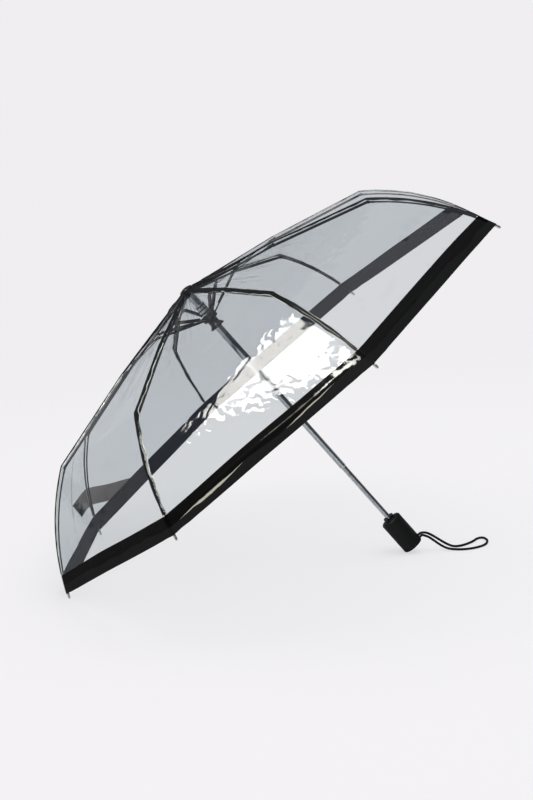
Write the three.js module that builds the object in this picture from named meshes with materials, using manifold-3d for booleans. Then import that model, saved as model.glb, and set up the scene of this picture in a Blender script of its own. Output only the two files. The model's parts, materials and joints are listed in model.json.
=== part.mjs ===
// A folding umbrella, open and resting on two rib tips and its handle.
// Millimetres. The umbrella is built upright: its shaft is the Z axis, the crown is at the origin and
// the handle hangs below. The last group tilts it the way it lies and puts its lowest point at Z 0.
import * as THREE from "three";
import { mergeVertices } from "three/addons/utils/BufferGeometryUtils.js";
import Module from "manifold-3d";

const wasm = await Module();
wasm.setup();

// Canopy: the line that the film follows over each rib, as radius and depth below the crown
const RIB_COUNT = 8;
const RIM_RADIUS = 460;
const RIM_DEPTH = 220;
const FIRST_FOLD_RADIUS = 169;
const FIRST_FOLD_DEPTH = 31;
const SECOND_FOLD_RADIUS = 334;
const SECOND_FOLD_DEPTH = 72;
const OUTER_RIB_BOW = 13;
const FILM_THICKNESS = 0.5;
const FILM_HOLE_RADIUS = 4.5;
const HEM_WIDTH = 29;
const HEM_DRAW_IN = 2;
const SEAM_GAP = 0.3;

// Ribs
const RIB_DROP = 5;
const FOLD_PIN_DROP = 3;
const TOP_RIB_WIDTH = 2.4;
const TOP_RIB_HEIGHT = 3;
const CHANNEL_INSIDE = 3.2;
const CHANNEL_WALL = 0.7;
const MIDDLE_RIB_HEIGHT = 3.4;
const OUTER_PIN_DROP = 6;
const OUTER_WIRE_RADIUS = 1.2;
const WIRE_START = 9;
const TIP_DROP = 2.6;
const TIP_REACH = 8;
const TIP_CAP_RADIUS = 1.9;
const TIP_CAP_LENGTH = 12;
const EYE_RADIUS = 1.9;
const PIN_RADIUS = 0.6;
const PIN_HOLE_RADIUS = 0.9;

// Struts and the links that turn the middle ribs
const STRUT_SEAT = 89;
const STRUT_SEAT_DROP = 0.6;
const STRUT_BACK = 2.6;
const STRUT_FRONT = 1;
const STRUT_TONGUE = 24;
const STRUT_FORK = 11;
const STRUT_EAR_RADIUS = 2.2;
const STRUT_FOOT_RADIUS = 1.8;
const JOINING_LAP = 3;
const LINK_SEAT = 9.55;
const LINK_TAIL = 9;
const LINK_RADIUS = 0.6;
const LINK_EYE_RADIUS = 1.5;
const LINK_PIN_RADIUS = 0.5;
const TAIL_HEIGHT = 2.6;

// Crown
const CROWN_RADIUS = 12;
const CROWN_HEIGHT = 12;
const CROWN_SPIGOT_DEPTH = 5;
const CROWN_SLOT_ROOF = 4.7;
const CROWN_SLOT_FLOOR_RADIUS = 6.9;
const CROWN_PIN_RADIUS_FROM_AXIS = 9.5;
const CROWN_PIN_DEPTH = 7;
const CAP_RADIUS = 11.5;
const CAP_HEIGHT = 4.2;
const CAP_STEM_RADIUS = 3;
const CAP_STEM_DEPTH = 9.7;

// Shaft: three tubes that slide into each other
const TUBE_WALL = 0.6;
const TOP_TUBE_RADIUS = 6.4;
const TOP_TUBE_END = 210;
const MIDDLE_TUBE_RADIUS = 5.3;
const MIDDLE_TUBE_START = 195;
const MIDDLE_TUBE_END = 382;
const BOTTOM_TUBE_RADIUS = 4.4;
const BOTTOM_TUBE_START = 367;
const FLUTE_COUNT = 8;
const FLUTE_WIDTH = 1;
const FLUTE_DEPTH = 0.25;
const STOP_START = 31;
const STOP_END = 50;
const STOP_RADIUS = 8.5;
const STOP_GROOVES = 3;
const STOP_GROOVE_DEPTH = 0.8;
const STOP_GROOVE_WIDTH = 2.4;

// Runner
const RUNNER_BORE = 6.75;
const RUNNER_TOP = 51;
const RUNNER_HEAD_END = 61;
const RUNNER_END = 77;
const RUNNER_HEAD_RADIUS = 13;
const RUNNER_WAIST_RADIUS = 8.3;
const RUNNER_FLANGE_RADIUS = 12.7;
const RUNNER_FLANGE_THICKNESS = 2;
const RUNNER_FLARE = 6;
const RUNNER_PIN_RADIUS_FROM_AXIS = 11;
const RUNNER_PIN_DEPTH = 57;
const RUNNER_NOTCH_WIDTH = 4.4;
const RUNNER_NOTCH_FLOOR_RADIUS = 9.4;

// Handle
const HANDLE_RADIUS = 17.4;
const HANDLE_TOP = 497.5;
const HANDLE_BOTTOM = 557;
const HANDLE_ROUNDING = 3;
const HANDLE_CHAMFER = 2;
const HANDLE_TOP_RISE = 1.5;
const HANDLE_BORE = 9.3;
const SLEEVE_GAP = 0.3;
const COLLAR_RISE = 5.8;
const COLLAR_RECESS_RADIUS = 6.6;
const COLLAR_RECESS_DEPTH = 9;
const COLLAR_NOTCH_WIDTH = 4;
const COLLAR_NOTCHES = 4;
const SLEEVE_FLOOR = 543;
const SLEEVE_END = 547;
const ROLL_PIN_DEPTH = 530;
const ROLL_PIN_RADIUS = 1;
const END_CAP_RADIUS = 13;
const END_CAP_SEAT = 3;
const END_CAP_DOME = 3;

// Wrist cord: its ends leave the handle's side one above the other
const CORD_RADIUS = 2;
const CORD_SIDES = 8;
const CORD_STEPS = 46;
const CORD_EXIT_RISE = 7.2;
const CORD_SPACING = 4.4;
const CORD_SLOT_GAP = 0.4;
const CORD_INSIDE = 3.4;
const CLAMP_THICKNESS = 2;

// Closing strap: sewn to the outside of the hem, beside the eighth rib
const STRAP_WIDTH = 28;
const STRAP_THICKNESS = 1;
const STRAP_FROM_RIM = 15;
const STRAP_PLACE_SHARE = 0.7;
const STRAP_SLANT_SHARE = 0.014;
const STRAP_SEAM_HEIGHT = 0.8;
const PATCH_THICKNESS = 1;
const PATCH_MARGIN = 1.5;
const PATCH_LENGTH = 13.5;

// Fits
const GAP = 0.3;
const SLOT_GAP = 0.4;
const OVERRUN = 1;
const ROUND_SIDES = 32;
const TUBE_SIDES = 24;
const SMALL_SIDES = 8;

const GORE_ANGLE = (2 * Math.PI) / RIB_COUNT;
const CHANNEL_OUTSIDE = CHANNEL_INSIDE + 2 * CHANNEL_WALL;
const FILM_SLOPE = FIRST_FOLD_DEPTH / FIRST_FOLD_RADIUS;

const finish = (color, roughness, metalness) =>
  new THREE.MeshStandardMaterial({ color, roughness, metalness });
const BLACK_STEEL = finish(0x17181a, 0.45, 0.6);
const CHROME = finish(0xc9cdd0, 0.18, 1);
const BLACK_PLASTIC = finish(0x141515, 0.55, 0);
const RUBBER_BLACK = finish(0x101111, 0.75, 0);
const CLEAR_FILM = finish(0xdfe6e6, 0.08, 0);
const HEM_FABRIC = finish(0x0d0d0e, 0.8, 0);
const STRAP_FABRIC = finish(0x6a615f, 0.9, 0);
CLEAR_FILM.transparent = true;
CLEAR_FILM.opacity = 0.35;

// Solids
function solidOf(geometry) {
  const bare = geometry.clone();
  bare.deleteAttribute("normal");
  bare.deleteAttribute("uv");
  const merged = mergeVertices(bare, 1e-4);
  const made = new wasm.Manifold(
    new wasm.Mesh({
      numProp: 3,
      vertProperties: new Float32Array(merged.attributes.position.array),
      triVerts: new Uint32Array(merged.index.array),
    }),
  );
  return made;
}

function joined(first, ...others) {
  return others.reduce((whole, other) => whole.add(other), first);
}

function without(body, ...tools) {
  return tools.reduce((left, tool) => left.subtract(tool), body);
}

function pieceOf(name, solid, material) {
  const raw = solid.getMesh();
  const geometry = new THREE.BufferGeometry();
  geometry.setAttribute("position", new THREE.BufferAttribute(raw.vertProperties, raw.numProp));
  geometry.setIndex(new THREE.BufferAttribute(raw.triVerts, 1));
  geometry.computeVertexNormals();
  const mesh = new THREE.Mesh(geometry, material);
  mesh.name = name;
  return mesh;
}

// A turned piece: its profile is a list of [radius, height], listed upwards on the outside.
function turned(profile, sides = ROUND_SIDES) {
  const points = profile.map(([radius, height]) => new THREE.Vector2(radius, height));
  return solidOf(new THREE.LatheGeometry(points, sides).rotateX(Math.PI / 2));
}

function ring(inside, outside, low, high, sides = TUBE_SIDES) {
  const profile = [
    [inside, low],
    [outside, low],
    [outside, high],
    [inside, high],
    [inside, low],
  ];
  return turned(profile, sides);
}

function block(width, depth, height, x, y, z) {
  return solidOf(new THREE.BoxGeometry(width, depth, height).translate(x, y, z));
}

function around(solid, angle) {
  return solid.transform(new THREE.Matrix4().makeRotationZ(angle).elements);
}

// Rib plane: x is the distance from the shaft, z is the height and y runs across the rib.
const at = (radius, height) => new THREE.Vector2(radius, height);
const heading = (from, to) => to.clone().sub(from).normalize();
const toward = (from, to, distance) => from.clone().addScaledVector(heading(from, to), distance);

// The direction that points into the canopy from a line that runs outwards.
function inwards(from, to) {
  const along = heading(from, to);
  return at(along.y, -along.x);
}

function slab(outline, low, high) {
  const shape = new THREE.Shape(outline);
  const depth = high - low;
  const cut = new THREE.ExtrudeGeometry(shape, { depth, bevelEnabled: false, steps: 1 });
  return solidOf(cut.rotateX(Math.PI / 2).translate(0, high, 0));
}

// A straight bar from one point to another, reaching "under" and "over" its line.
function bar(from, to, under, over, low, high) {
  const down = inwards(from, to);
  const outline = [
    from.clone().addScaledVector(down, under),
    to.clone().addScaledVector(down, under),
    to.clone().addScaledVector(down, -over),
    from.clone().addScaledVector(down, -over),
  ];
  return slab(outline, low, high);
}

function disc(centre, radius, low, high, sides = SMALL_SIDES) {
  const round = new THREE.CylinderGeometry(radius, radius, high - low, sides);
  return solidOf(round.translate(centre.x, (low + high) / 2, centre.y));
}

// Points of one rib, in its plane
const CROWN_POINT = at(0, 0);
const FIRST_FOLD = at(FIRST_FOLD_RADIUS, -FIRST_FOLD_DEPTH);
const SECOND_FOLD = at(SECOND_FOLD_RADIUS, -SECOND_FOLD_DEPTH);
const RIM = at(RIM_RADIUS, -RIM_DEPTH);
const FIRST_DOWN = inwards(CROWN_POINT, FIRST_FOLD);
const SECOND_DOWN = inwards(FIRST_FOLD, SECOND_FOLD);
const CROWN_PIN = at(CROWN_PIN_RADIUS_FROM_AXIS, -CROWN_PIN_DEPTH);
const TOP_RIB_END = FIRST_FOLD.clone().addScaledVector(FIRST_DOWN, RIB_DROP);
const FIRST_PIN = FIRST_FOLD.clone().addScaledVector(FIRST_DOWN, FOLD_PIN_DROP);
const MIDDLE_RIB_START = FIRST_FOLD.clone().addScaledVector(SECOND_DOWN, RIB_DROP);
const MIDDLE_RIB_END = SECOND_FOLD.clone().addScaledVector(SECOND_DOWN, RIB_DROP);
const SECOND_PIN = SECOND_FOLD.clone().addScaledVector(SECOND_DOWN, OUTER_PIN_DROP);
const RUNNER_PIN = at(RUNNER_PIN_RADIUS_FROM_AXIS, -RUNNER_PIN_DEPTH);
const TOP_RIB_DOWN = inwards(CROWN_PIN, TOP_RIB_END);
const STRUT_PIN = toward(CROWN_PIN, TOP_RIB_END, STRUT_SEAT).addScaledVector(TOP_RIB_DOWN, STRUT_SEAT_DROP);
const LINK_PIN = toward(STRUT_PIN, RUNNER_PIN, LINK_SEAT);
const TAIL_END = FIRST_PIN.clone().addScaledVector(heading(CROWN_PIN, TOP_RIB_END), -LINK_TAIL);

// Half widths across a rib, from the middle outwards
const TOP_HALF = TOP_RIB_WIDTH / 2;
const WALL_LOW = CHANNEL_INSIDE / 2;
const WALL_HIGH = CHANNEL_OUTSIDE / 2;
const LINK_LOW = WALL_HIGH + GAP;
const LINK_HIGH = LINK_LOW + 2 * LINK_RADIUS;

function bowed(from, to, bow) {
  const middle = from.clone().add(to).divideScalar(2);
  const control = middle.addScaledVector(inwards(from, to), -2 * bow);
  return new THREE.QuadraticBezierCurve(from, control, to);
}

// The film's line over a rib, by distance from the crown
const FILM_LINE = new THREE.CurvePath();
FILM_LINE.add(new THREE.LineCurve(CROWN_POINT, FIRST_FOLD));
FILM_LINE.add(new THREE.LineCurve(FIRST_FOLD, SECOND_FOLD));
FILM_LINE.add(bowed(SECOND_FOLD, RIM, OUTER_RIB_BOW));
const FIRST_LENGTH = CROWN_POINT.distanceTo(FIRST_FOLD);
const SECOND_LENGTH = FIRST_LENGTH + FIRST_FOLD.distanceTo(SECOND_FOLD);
const RIM_LENGTH = FILM_LINE.getLength();
const HEM_START = RIM_LENGTH - HEM_WIDTH;
const RIM_HEADING = FILM_LINE.getTangent(1);
const PAST_RIM = RIM.clone().addScaledVector(RIM_HEADING, TIP_REACH);
const WIRE_TIP = PAST_RIM.clone().addScaledVector(inwards(RIM, PAST_RIM), TIP_DROP);

// A point of the canopy: "gore" counts ribs, with parts of one between two ribs, and "distance" runs
// from the crown. Between ribs the film is stretched straight, and its rim is drawn in a little.
const DRAW_IN_POWER = 4;
function canopyPoint(gore, distance, drop = 0) {
  const rib = Math.floor(gore);
  const share = gore - rib;
  const drawn = HEM_DRAW_IN * 4 * share * (1 - share) * (distance / RIM_LENGTH) ** DRAW_IN_POWER;
  const place = FILM_LINE.getPoint((distance - drawn) / RIM_LENGTH);
  const low = rib * GORE_ANGLE;
  const high = low + GORE_ANGLE;
  const x = place.x * ((1 - share) * Math.cos(low) + share * Math.cos(high));
  const y = place.x * ((1 - share) * Math.sin(low) + share * Math.sin(high));
  return new THREE.Vector3(x, y, place.y - drop);
}

// A closed skin from a grid of upper points and the lower points under them.
function skin(rows, columns, pointAt, closedRound) {
  const positions = [];
  for (const under of [0, 1])
    for (let row = 0; row < rows; row++)
      for (let column = 0; column < columns; column++) positions.push(...pointAt(row, column, under));
  const size = rows * columns;
  const faces = [];
  const quad = (a, b, c, d) => faces.push(a, b, c, a, c, d);
  const index = (row, column, under) => under * size + row * columns + (column % columns);
  const spans = closedRound ? columns : columns - 1;
  for (let column = 0; column < spans; column++) {
    for (let row = 0; row < rows - 1; row++) {
      quad(index(row, column, 0), index(row + 1, column, 0), index(row + 1, column + 1, 0), index(row, column + 1, 0));
      quad(index(row, column, 1), index(row, column + 1, 1), index(row + 1, column + 1, 1), index(row + 1, column, 1));
    }
    const last = rows - 1;
    quad(index(0, column, 1), index(0, column, 0), index(0, column + 1, 0), index(0, column + 1, 1));
    quad(index(last, column, 0), index(last, column, 1), index(last, column + 1, 1), index(last, column + 1, 0));
  }
  if (!closedRound)
    for (let row = 0; row < rows - 1; row++) {
      const end = columns - 1;
      quad(index(row, 0, 0), index(row, 0, 1), index(row + 1, 0, 1), index(row + 1, 0, 0));
      quad(index(row, end, 1), index(row, end, 0), index(row + 1, end, 0), index(row + 1, end, 1));
    }
  const geometry = new THREE.BufferGeometry();
  geometry.setAttribute("position", new THREE.Float32BufferAttribute(positions, 3));
  geometry.setIndex(faces);
  return solidOf(geometry);
}

const GORE_STEPS = 4;
function canopyBand(distances) {
  const columns = RIB_COUNT * GORE_STEPS;
  return skin(
    distances.length,
    columns,
    (row, column, under) => canopyPoint(column / GORE_STEPS, distances[row], under * FILM_THICKNESS),
    true,
  );
}

function makeFilm() {
  const bendShares = [0.2, 0.45, 0.72];
  const last = HEM_START - SEAM_GAP;
  const bend = bendShares.map((share) => SECOND_LENGTH + share * (last - SECOND_LENGTH));
  const flat = (FIRST_LENGTH + SECOND_LENGTH) / 2;
  return canopyBand([FILM_HOLE_RADIUS, FIRST_LENGTH / 2, FIRST_LENGTH, flat, SECOND_LENGTH, ...bend, last]);
}

function makeHem() {
  return canopyBand([HEM_START, (HEM_START + RIM_LENGTH) / 2, RIM_LENGTH]);
}

function makeTopRib() {
  const half = TOP_RIB_HEIGHT / 2;
  const body = joined(
    bar(CROWN_PIN, TOP_RIB_END, half, half, -TOP_HALF, TOP_HALF),
    disc(CROWN_PIN, EYE_RADIUS, -TOP_HALF, TOP_HALF),
    disc(FIRST_PIN, EYE_RADIUS, -TOP_HALF, TOP_HALF),
    disc(STRUT_PIN, EYE_RADIUS, -TOP_HALF, TOP_HALF),
  );
  const low = -TOP_HALF - OVERRUN;
  const high = TOP_HALF + OVERRUN;
  const holes = [CROWN_PIN, FIRST_PIN, STRUT_PIN].map((pin) => disc(pin, PIN_HOLE_RADIUS, low, high));
  return without(body, ...holes);
}

function makeStrut() {
  const tongueEnd = toward(RUNNER_PIN, STRUT_PIN, STRUT_TONGUE);
  const channelStart = toward(RUNNER_PIN, STRUT_PIN, STRUT_TONGUE - JOINING_LAP);
  const forkStart = toward(STRUT_PIN, RUNNER_PIN, STRUT_FORK);
  const hollow = STRUT_BACK - CHANNEL_WALL;
  const cheek = (low, high) =>
    joined(
      bar(channelStart, STRUT_PIN, STRUT_FRONT, STRUT_FRONT, low, high),
      bar(channelStart, forkStart, STRUT_FRONT, STRUT_BACK, low, high),
      disc(STRUT_PIN, STRUT_EAR_RADIUS, low, high),
    );
  return joined(
    bar(RUNNER_PIN, tongueEnd, STRUT_FRONT, STRUT_FRONT, -TOP_HALF, TOP_HALF),
    disc(RUNNER_PIN, STRUT_FOOT_RADIUS, -TOP_HALF, TOP_HALF),
    bar(channelStart, tongueEnd, STRUT_FRONT, STRUT_BACK, -WALL_HIGH, WALL_HIGH),
    bar(channelStart, forkStart, -hollow, STRUT_BACK, -WALL_HIGH, WALL_HIGH),
    cheek(-WALL_HIGH, -WALL_LOW),
    cheek(WALL_LOW, WALL_HIGH),
    disc(STRUT_PIN, PIN_RADIUS, -WALL_HIGH, WALL_HIGH),
    disc(LINK_PIN, LINK_PIN_RADIUS, WALL_LOW, LINK_HIGH),
  );
}

function makeLink() {
  const body = joined(
    bar(LINK_PIN, TAIL_END, LINK_RADIUS, LINK_RADIUS, LINK_LOW, LINK_HIGH),
    disc(LINK_PIN, LINK_EYE_RADIUS, LINK_LOW, LINK_HIGH),
    disc(TAIL_END, LINK_EYE_RADIUS, LINK_LOW, LINK_HIGH),
  );
  return without(body, disc(LINK_PIN, LINK_PIN_RADIUS + GAP, LINK_LOW - OVERRUN, LINK_HIGH + OVERRUN));
}

function makeMiddleRib() {
  const half = MIDDLE_RIB_HEIGHT / 2;
  const start = toward(MIDDLE_RIB_START, MIDDLE_RIB_END, EYE_RADIUS + 2 * PIN_HOLE_RADIUS);
  const end = toward(MIDDLE_RIB_END, MIDDLE_RIB_START, EYE_RADIUS + PIN_HOLE_RADIUS);
  const floor = half - CHANNEL_WALL;
  const cheek = (low, high) =>
    joined(
      bar(MIDDLE_RIB_START, MIDDLE_RIB_END, half, half, low, high),
      disc(FIRST_PIN, EYE_RADIUS, low, high),
      disc(SECOND_PIN, EYE_RADIUS, low, high),
    );
  return joined(
    bar(start, end, -floor, half, -WALL_HIGH, WALL_HIGH),
    cheek(-WALL_HIGH, -WALL_LOW),
    cheek(WALL_LOW, WALL_HIGH),
    disc(FIRST_PIN, PIN_RADIUS, -WALL_HIGH, WALL_HIGH),
    disc(SECOND_PIN, PIN_RADIUS, -WALL_HIGH, WALL_HIGH),
    bar(TAIL_END, FIRST_PIN, TAIL_HEIGHT / 2, TAIL_HEIGHT / 2, WALL_LOW, WALL_HIGH),
    disc(TAIL_END, LINK_EYE_RADIUS, WALL_LOW, WALL_HIGH),
  );
}

const WIRE_SIDES = 6;
const WIRE_STEPS = 9;
const OUTER_LINE = bowed(SECOND_PIN, WIRE_TIP, OUTER_RIB_BOW);
const WIRE_FROM = OUTER_LINE.getPointAt(WIRE_START / OUTER_LINE.getLength());

function makeOuterRib() {
  const length = OUTER_LINE.getLength();
  const route = [];
  for (let step = 0; step <= WIRE_STEPS; step++) {
    const distance = WIRE_START - JOINING_LAP + (step / WIRE_STEPS) * (length - WIRE_START + JOINING_LAP - OVERRUN);
    const place = OUTER_LINE.getPointAt(distance / length);
    route.push(new THREE.Vector3(place.x, 0, place.y));
  }
  const section = new THREE.Shape(
    new THREE.EllipseCurve(0, 0, OUTER_WIRE_RADIUS, OUTER_WIRE_RADIUS).getPoints(WIRE_SIDES).slice(0, WIRE_SIDES),
  );
  const extrudePath = new THREE.CatmullRomCurve3(route);
  const wire = new THREE.ExtrudeGeometry(section, { steps: WIRE_STEPS, extrudePath, bevelEnabled: false });
  const end = heading(OUTER_LINE.getPointAt(1 - TIP_CAP_LENGTH / length), WIRE_TIP);
  const cap = new THREE.LatheGeometry(
    [
      at(0, -TIP_CAP_LENGTH),
      at(TIP_CAP_RADIUS, -TIP_CAP_LENGTH),
      at(TIP_CAP_RADIUS, -TIP_CAP_RADIUS),
      at(TIP_CAP_RADIUS / 2, 0),
      at(0, 0),
    ],
    SMALL_SIDES,
  );
  cap.rotateX(Math.PI / 2).rotateY(Math.PI / 2 + Math.atan2(-end.y, end.x));
  cap.translate(WIRE_TIP.x, 0, WIRE_TIP.y);
  const body = joined(
    bar(SECOND_PIN, WIRE_FROM, OUTER_WIRE_RADIUS, OUTER_WIRE_RADIUS, -TOP_HALF, TOP_HALF),
    disc(SECOND_PIN, EYE_RADIUS, -TOP_HALF, TOP_HALF),
    solidOf(wire),
    solidOf(cap),
  );
  return without(body, disc(SECOND_PIN, PIN_HOLE_RADIUS, -TOP_HALF - OVERRUN, TOP_HALF + OVERRUN));
}

function makeCrownHub() {
  const top = (radius) => -FILM_SLOPE * radius - FILM_THICKNESS - GAP;
  const bore = CAP_STEM_RADIUS + GAP;
  const spigot = TOP_TUBE_RADIUS - TUBE_WALL - GAP;
  const bottom = -CROWN_HEIGHT - CROWN_SPIGOT_DEPTH;
  const hub = turned([
    [0, bottom],
    [spigot, bottom],
    [spigot, -CROWN_HEIGHT],
    [CROWN_RADIUS, -CROWN_HEIGHT],
    [CROWN_RADIUS, top(CROWN_RADIUS)],
    [bore, top(bore)],
    [bore, -CAP_STEM_DEPTH - GAP],
    [0, -CAP_STEM_DEPTH - GAP],
  ]);
  const slotWidth = TOP_RIB_WIDTH + 2 * GAP;
  const slotDepth = CROWN_HEIGHT - CROWN_SLOT_ROOF + OVERRUN;
  const slotLength = CROWN_RADIUS - CROWN_SLOT_FLOOR_RADIUS + OVERRUN;
  const slot = block(
    slotLength,
    slotWidth,
    slotDepth,
    CROWN_SLOT_FLOOR_RADIUS + slotLength / 2,
    0,
    -CROWN_SLOT_ROOF - slotDepth / 2,
  );
  const half = slotWidth / 2 + PIN_RADIUS;
  const pin = disc(CROWN_PIN, PIN_RADIUS, -half, half);
  let body = hub;
  for (let rib = 0; rib < RIB_COUNT; rib++) {
    body = body.subtract(around(slot, rib * GORE_ANGLE)).add(around(pin, rib * GORE_ANGLE));
  }
  return body;
}

function makeCrownCap() {
  const under = (radius) => -FILM_SLOPE * radius + GAP;
  return turned([
    [0, -CAP_STEM_DEPTH],
    [CAP_STEM_RADIUS, -CAP_STEM_DEPTH],
    [CAP_STEM_RADIUS, under(CAP_STEM_RADIUS)],
    [CAP_RADIUS, under(CAP_RADIUS)],
    [CAP_RADIUS, CAP_HEIGHT / 3],
    [(3 * CAP_RADIUS) / 4, (3 * CAP_HEIGHT) / 4],
    [CAP_RADIUS / 3, CAP_HEIGHT],
    [0, CAP_HEIGHT],
  ]);
}

const makeTopTube = () =>
  ring(TOP_TUBE_RADIUS - TUBE_WALL, TOP_TUBE_RADIUS, -TOP_TUBE_END, -CROWN_HEIGHT - GAP);
const makeMiddleTube = () =>
  ring(MIDDLE_TUBE_RADIUS - TUBE_WALL, MIDDLE_TUBE_RADIUS, -MIDDLE_TUBE_END, -MIDDLE_TUBE_START);

function makeBottomTube() {
  const tube = ring(BOTTOM_TUBE_RADIUS - TUBE_WALL, BOTTOM_TUBE_RADIUS, GAP - SLEEVE_FLOOR, -BOTTOM_TUBE_START);
  const length = SLEEVE_FLOOR - BOTTOM_TUBE_START + OVERRUN;
  const flute = block(
    FLUTE_DEPTH + OVERRUN,
    FLUTE_WIDTH,
    length,
    BOTTOM_TUBE_RADIUS - FLUTE_DEPTH + (FLUTE_DEPTH + OVERRUN) / 2,
    0,
    (-SLEEVE_FLOOR - BOTTOM_TUBE_START) / 2,
  );
  let body = tube;
  for (let turn = 0; turn < FLUTE_COUNT; turn++) {
    body = body.subtract(around(flute, turn * ((2 * Math.PI) / FLUTE_COUNT)));
  }
  const reach = BOTTOM_TUBE_RADIUS + OVERRUN;
  return body.subtract(disc(at(0, -ROLL_PIN_DEPTH), ROLL_PIN_RADIUS + GAP, -reach, reach));
}

// The ribbed stop on the top tube, against which the runner rests when the umbrella is open
function makeTopStop() {
  const profile = [
    [TOP_TUBE_RADIUS + GAP, -STOP_END],
    [STOP_RADIUS, -STOP_END],
  ];
  const pitch = (STOP_END - STOP_START) / STOP_GROOVES;
  for (let groove = 0; groove < STOP_GROOVES; groove++) {
    const middle = -STOP_END + (groove + 1 / 2) * pitch;
    profile.push([STOP_RADIUS, middle - STOP_GROOVE_WIDTH / 2]);
    profile.push([STOP_RADIUS - STOP_GROOVE_DEPTH, middle - STOP_GROOVE_WIDTH / 2]);
    profile.push([STOP_RADIUS - STOP_GROOVE_DEPTH, middle + STOP_GROOVE_WIDTH / 2]);
    profile.push([STOP_RADIUS, middle + STOP_GROOVE_WIDTH / 2]);
  }
  profile.push([STOP_RADIUS, -STOP_START]);
  profile.push([TOP_TUBE_RADIUS + GAP, -STOP_START]);
  profile.push([TOP_TUBE_RADIUS + GAP, -STOP_END]);
  return turned(profile, TUBE_SIDES);
}

function makeRunner() {
  const flange = -RUNNER_END + RUNNER_FLANGE_THICKNESS;
  const neck = -RUNNER_HEAD_END - (RUNNER_HEAD_RADIUS - RUNNER_WAIST_RADIUS) / 2;
  const body = turned([
    [RUNNER_BORE, -RUNNER_END],
    [RUNNER_FLANGE_RADIUS, -RUNNER_END],
    [RUNNER_FLANGE_RADIUS, flange],
    [RUNNER_WAIST_RADIUS, flange + RUNNER_FLARE],
    [RUNNER_WAIST_RADIUS, neck],
    [RUNNER_HEAD_RADIUS, -RUNNER_HEAD_END],
    [RUNNER_HEAD_RADIUS, -RUNNER_TOP],
    [RUNNER_BORE, -RUNNER_TOP],
    [RUNNER_BORE, -RUNNER_END],
  ]);
  const slotFloor = RUNNER_WAIST_RADIUS + GAP;
  const slotLength = RUNNER_HEAD_RADIUS - slotFloor + OVERRUN;
  const slotHeight = RUNNER_HEAD_END - RUNNER_TOP + 2 * RUNNER_FLARE;
  const slot = block(
    slotLength,
    TOP_RIB_WIDTH + 2 * SLOT_GAP,
    slotHeight,
    slotFloor + slotLength / 2,
    0,
    -(RUNNER_TOP + RUNNER_HEAD_END) / 2,
  );
  const notchLength = RUNNER_FLANGE_RADIUS - RUNNER_NOTCH_FLOOR_RADIUS + OVERRUN;
  const notch = block(
    notchLength,
    RUNNER_NOTCH_WIDTH,
    2 * RUNNER_FLARE,
    RUNNER_NOTCH_FLOOR_RADIUS + notchLength / 2,
    0,
    -RUNNER_END,
  );
  let made = body;
  for (let rib = 0; rib < RIB_COUNT; rib++) {
    made = without(made, around(slot, rib * GORE_ANGLE), around(notch, rib * GORE_ANGLE));
  }
  return made;
}

// The handle's slot for the two ends of the cord, in the side that faces up as the umbrella lies
const CORD_SIDE = -1;
const SLEEVE_RADIUS = HANDLE_BORE - SLEEVE_GAP;
const CORD_SLOT_HALF = CORD_RADIUS + CORD_SLOT_GAP;
const CLAMP_INSIDE = HANDLE_RADIUS - CORD_INSIDE - GAP - CLAMP_THICKNESS;
const CORD_EXIT_DEPTH = HANDLE_BOTTOM - CORD_EXIT_RISE;

function makeHandleShell() {
  const side = HANDLE_RADIUS - HANDLE_ROUNDING;
  const seat = END_CAP_RADIUS + GAP;
  const rounding = [];
  for (const share of [0, 0.25, 0.5, 0.75, 1]) {
    const turn = (share * Math.PI) / 2;
    const radius = side + HANDLE_ROUNDING * Math.sin(turn);
    rounding.push([radius, -HANDLE_BOTTOM + HANDLE_ROUNDING * (1 - Math.cos(turn))]);
  }
  const body = turned([
    [seat, -HANDLE_BOTTOM],
    ...rounding,
    [HANDLE_RADIUS, -HANDLE_TOP - HANDLE_CHAMFER],
    [HANDLE_RADIUS - HANDLE_CHAMFER, -HANDLE_TOP],
    [HANDLE_BORE, -HANDLE_TOP + HANDLE_TOP_RISE],
    [HANDLE_BORE, -HANDLE_BOTTOM + END_CAP_SEAT],
    [seat, -HANDLE_BOTTOM + END_CAP_SEAT],
    [seat, -HANDLE_BOTTOM],
  ]);
  const length = HANDLE_RADIUS - CLAMP_INSIDE + GAP + OVERRUN;
  const slot = block(
    length,
    2 * CORD_SLOT_HALF,
    CORD_SPACING + 2 * CORD_SLOT_HALF,
    CORD_SIDE * (CLAMP_INSIDE - GAP + length / 2),
    0,
    -CORD_EXIT_DEPTH,
  );
  return without(body, slot);
}

function makeHandleSleeve() {
  const top = -HANDLE_TOP + COLLAR_RISE;
  const bore = BOTTOM_TUBE_RADIUS + GAP;
  const body = turned([
    [0, -SLEEVE_END],
    [SLEEVE_RADIUS, -SLEEVE_END],
    [SLEEVE_RADIUS, top],
    [COLLAR_RECESS_RADIUS, top],
    [COLLAR_RECESS_RADIUS, top - COLLAR_RECESS_DEPTH],
    [bore, top - COLLAR_RECESS_DEPTH],
    [bore, -SLEEVE_FLOOR],
    [0, -SLEEVE_FLOOR],
  ]);
  const length = SLEEVE_RADIUS + OVERRUN;
  const notch = block(length, COLLAR_NOTCH_WIDTH, 2 * COLLAR_RISE - OVERRUN, length / 2, 0, top);
  const notches = [];
  for (let turn = 0; turn < COLLAR_NOTCHES; turn++) {
    notches.push(around(notch, turn * ((2 * Math.PI) / COLLAR_NOTCHES)));
  }
  const reach = SLEEVE_RADIUS + OVERRUN;
  return without(body, ...notches, disc(at(0, -ROLL_PIN_DEPTH), ROLL_PIN_RADIUS + GAP, -reach, reach));
}

const makeRollPin = () => disc(at(0, -ROLL_PIN_DEPTH), ROLL_PIN_RADIUS, -SLEEVE_RADIUS, SLEEVE_RADIUS);

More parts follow.
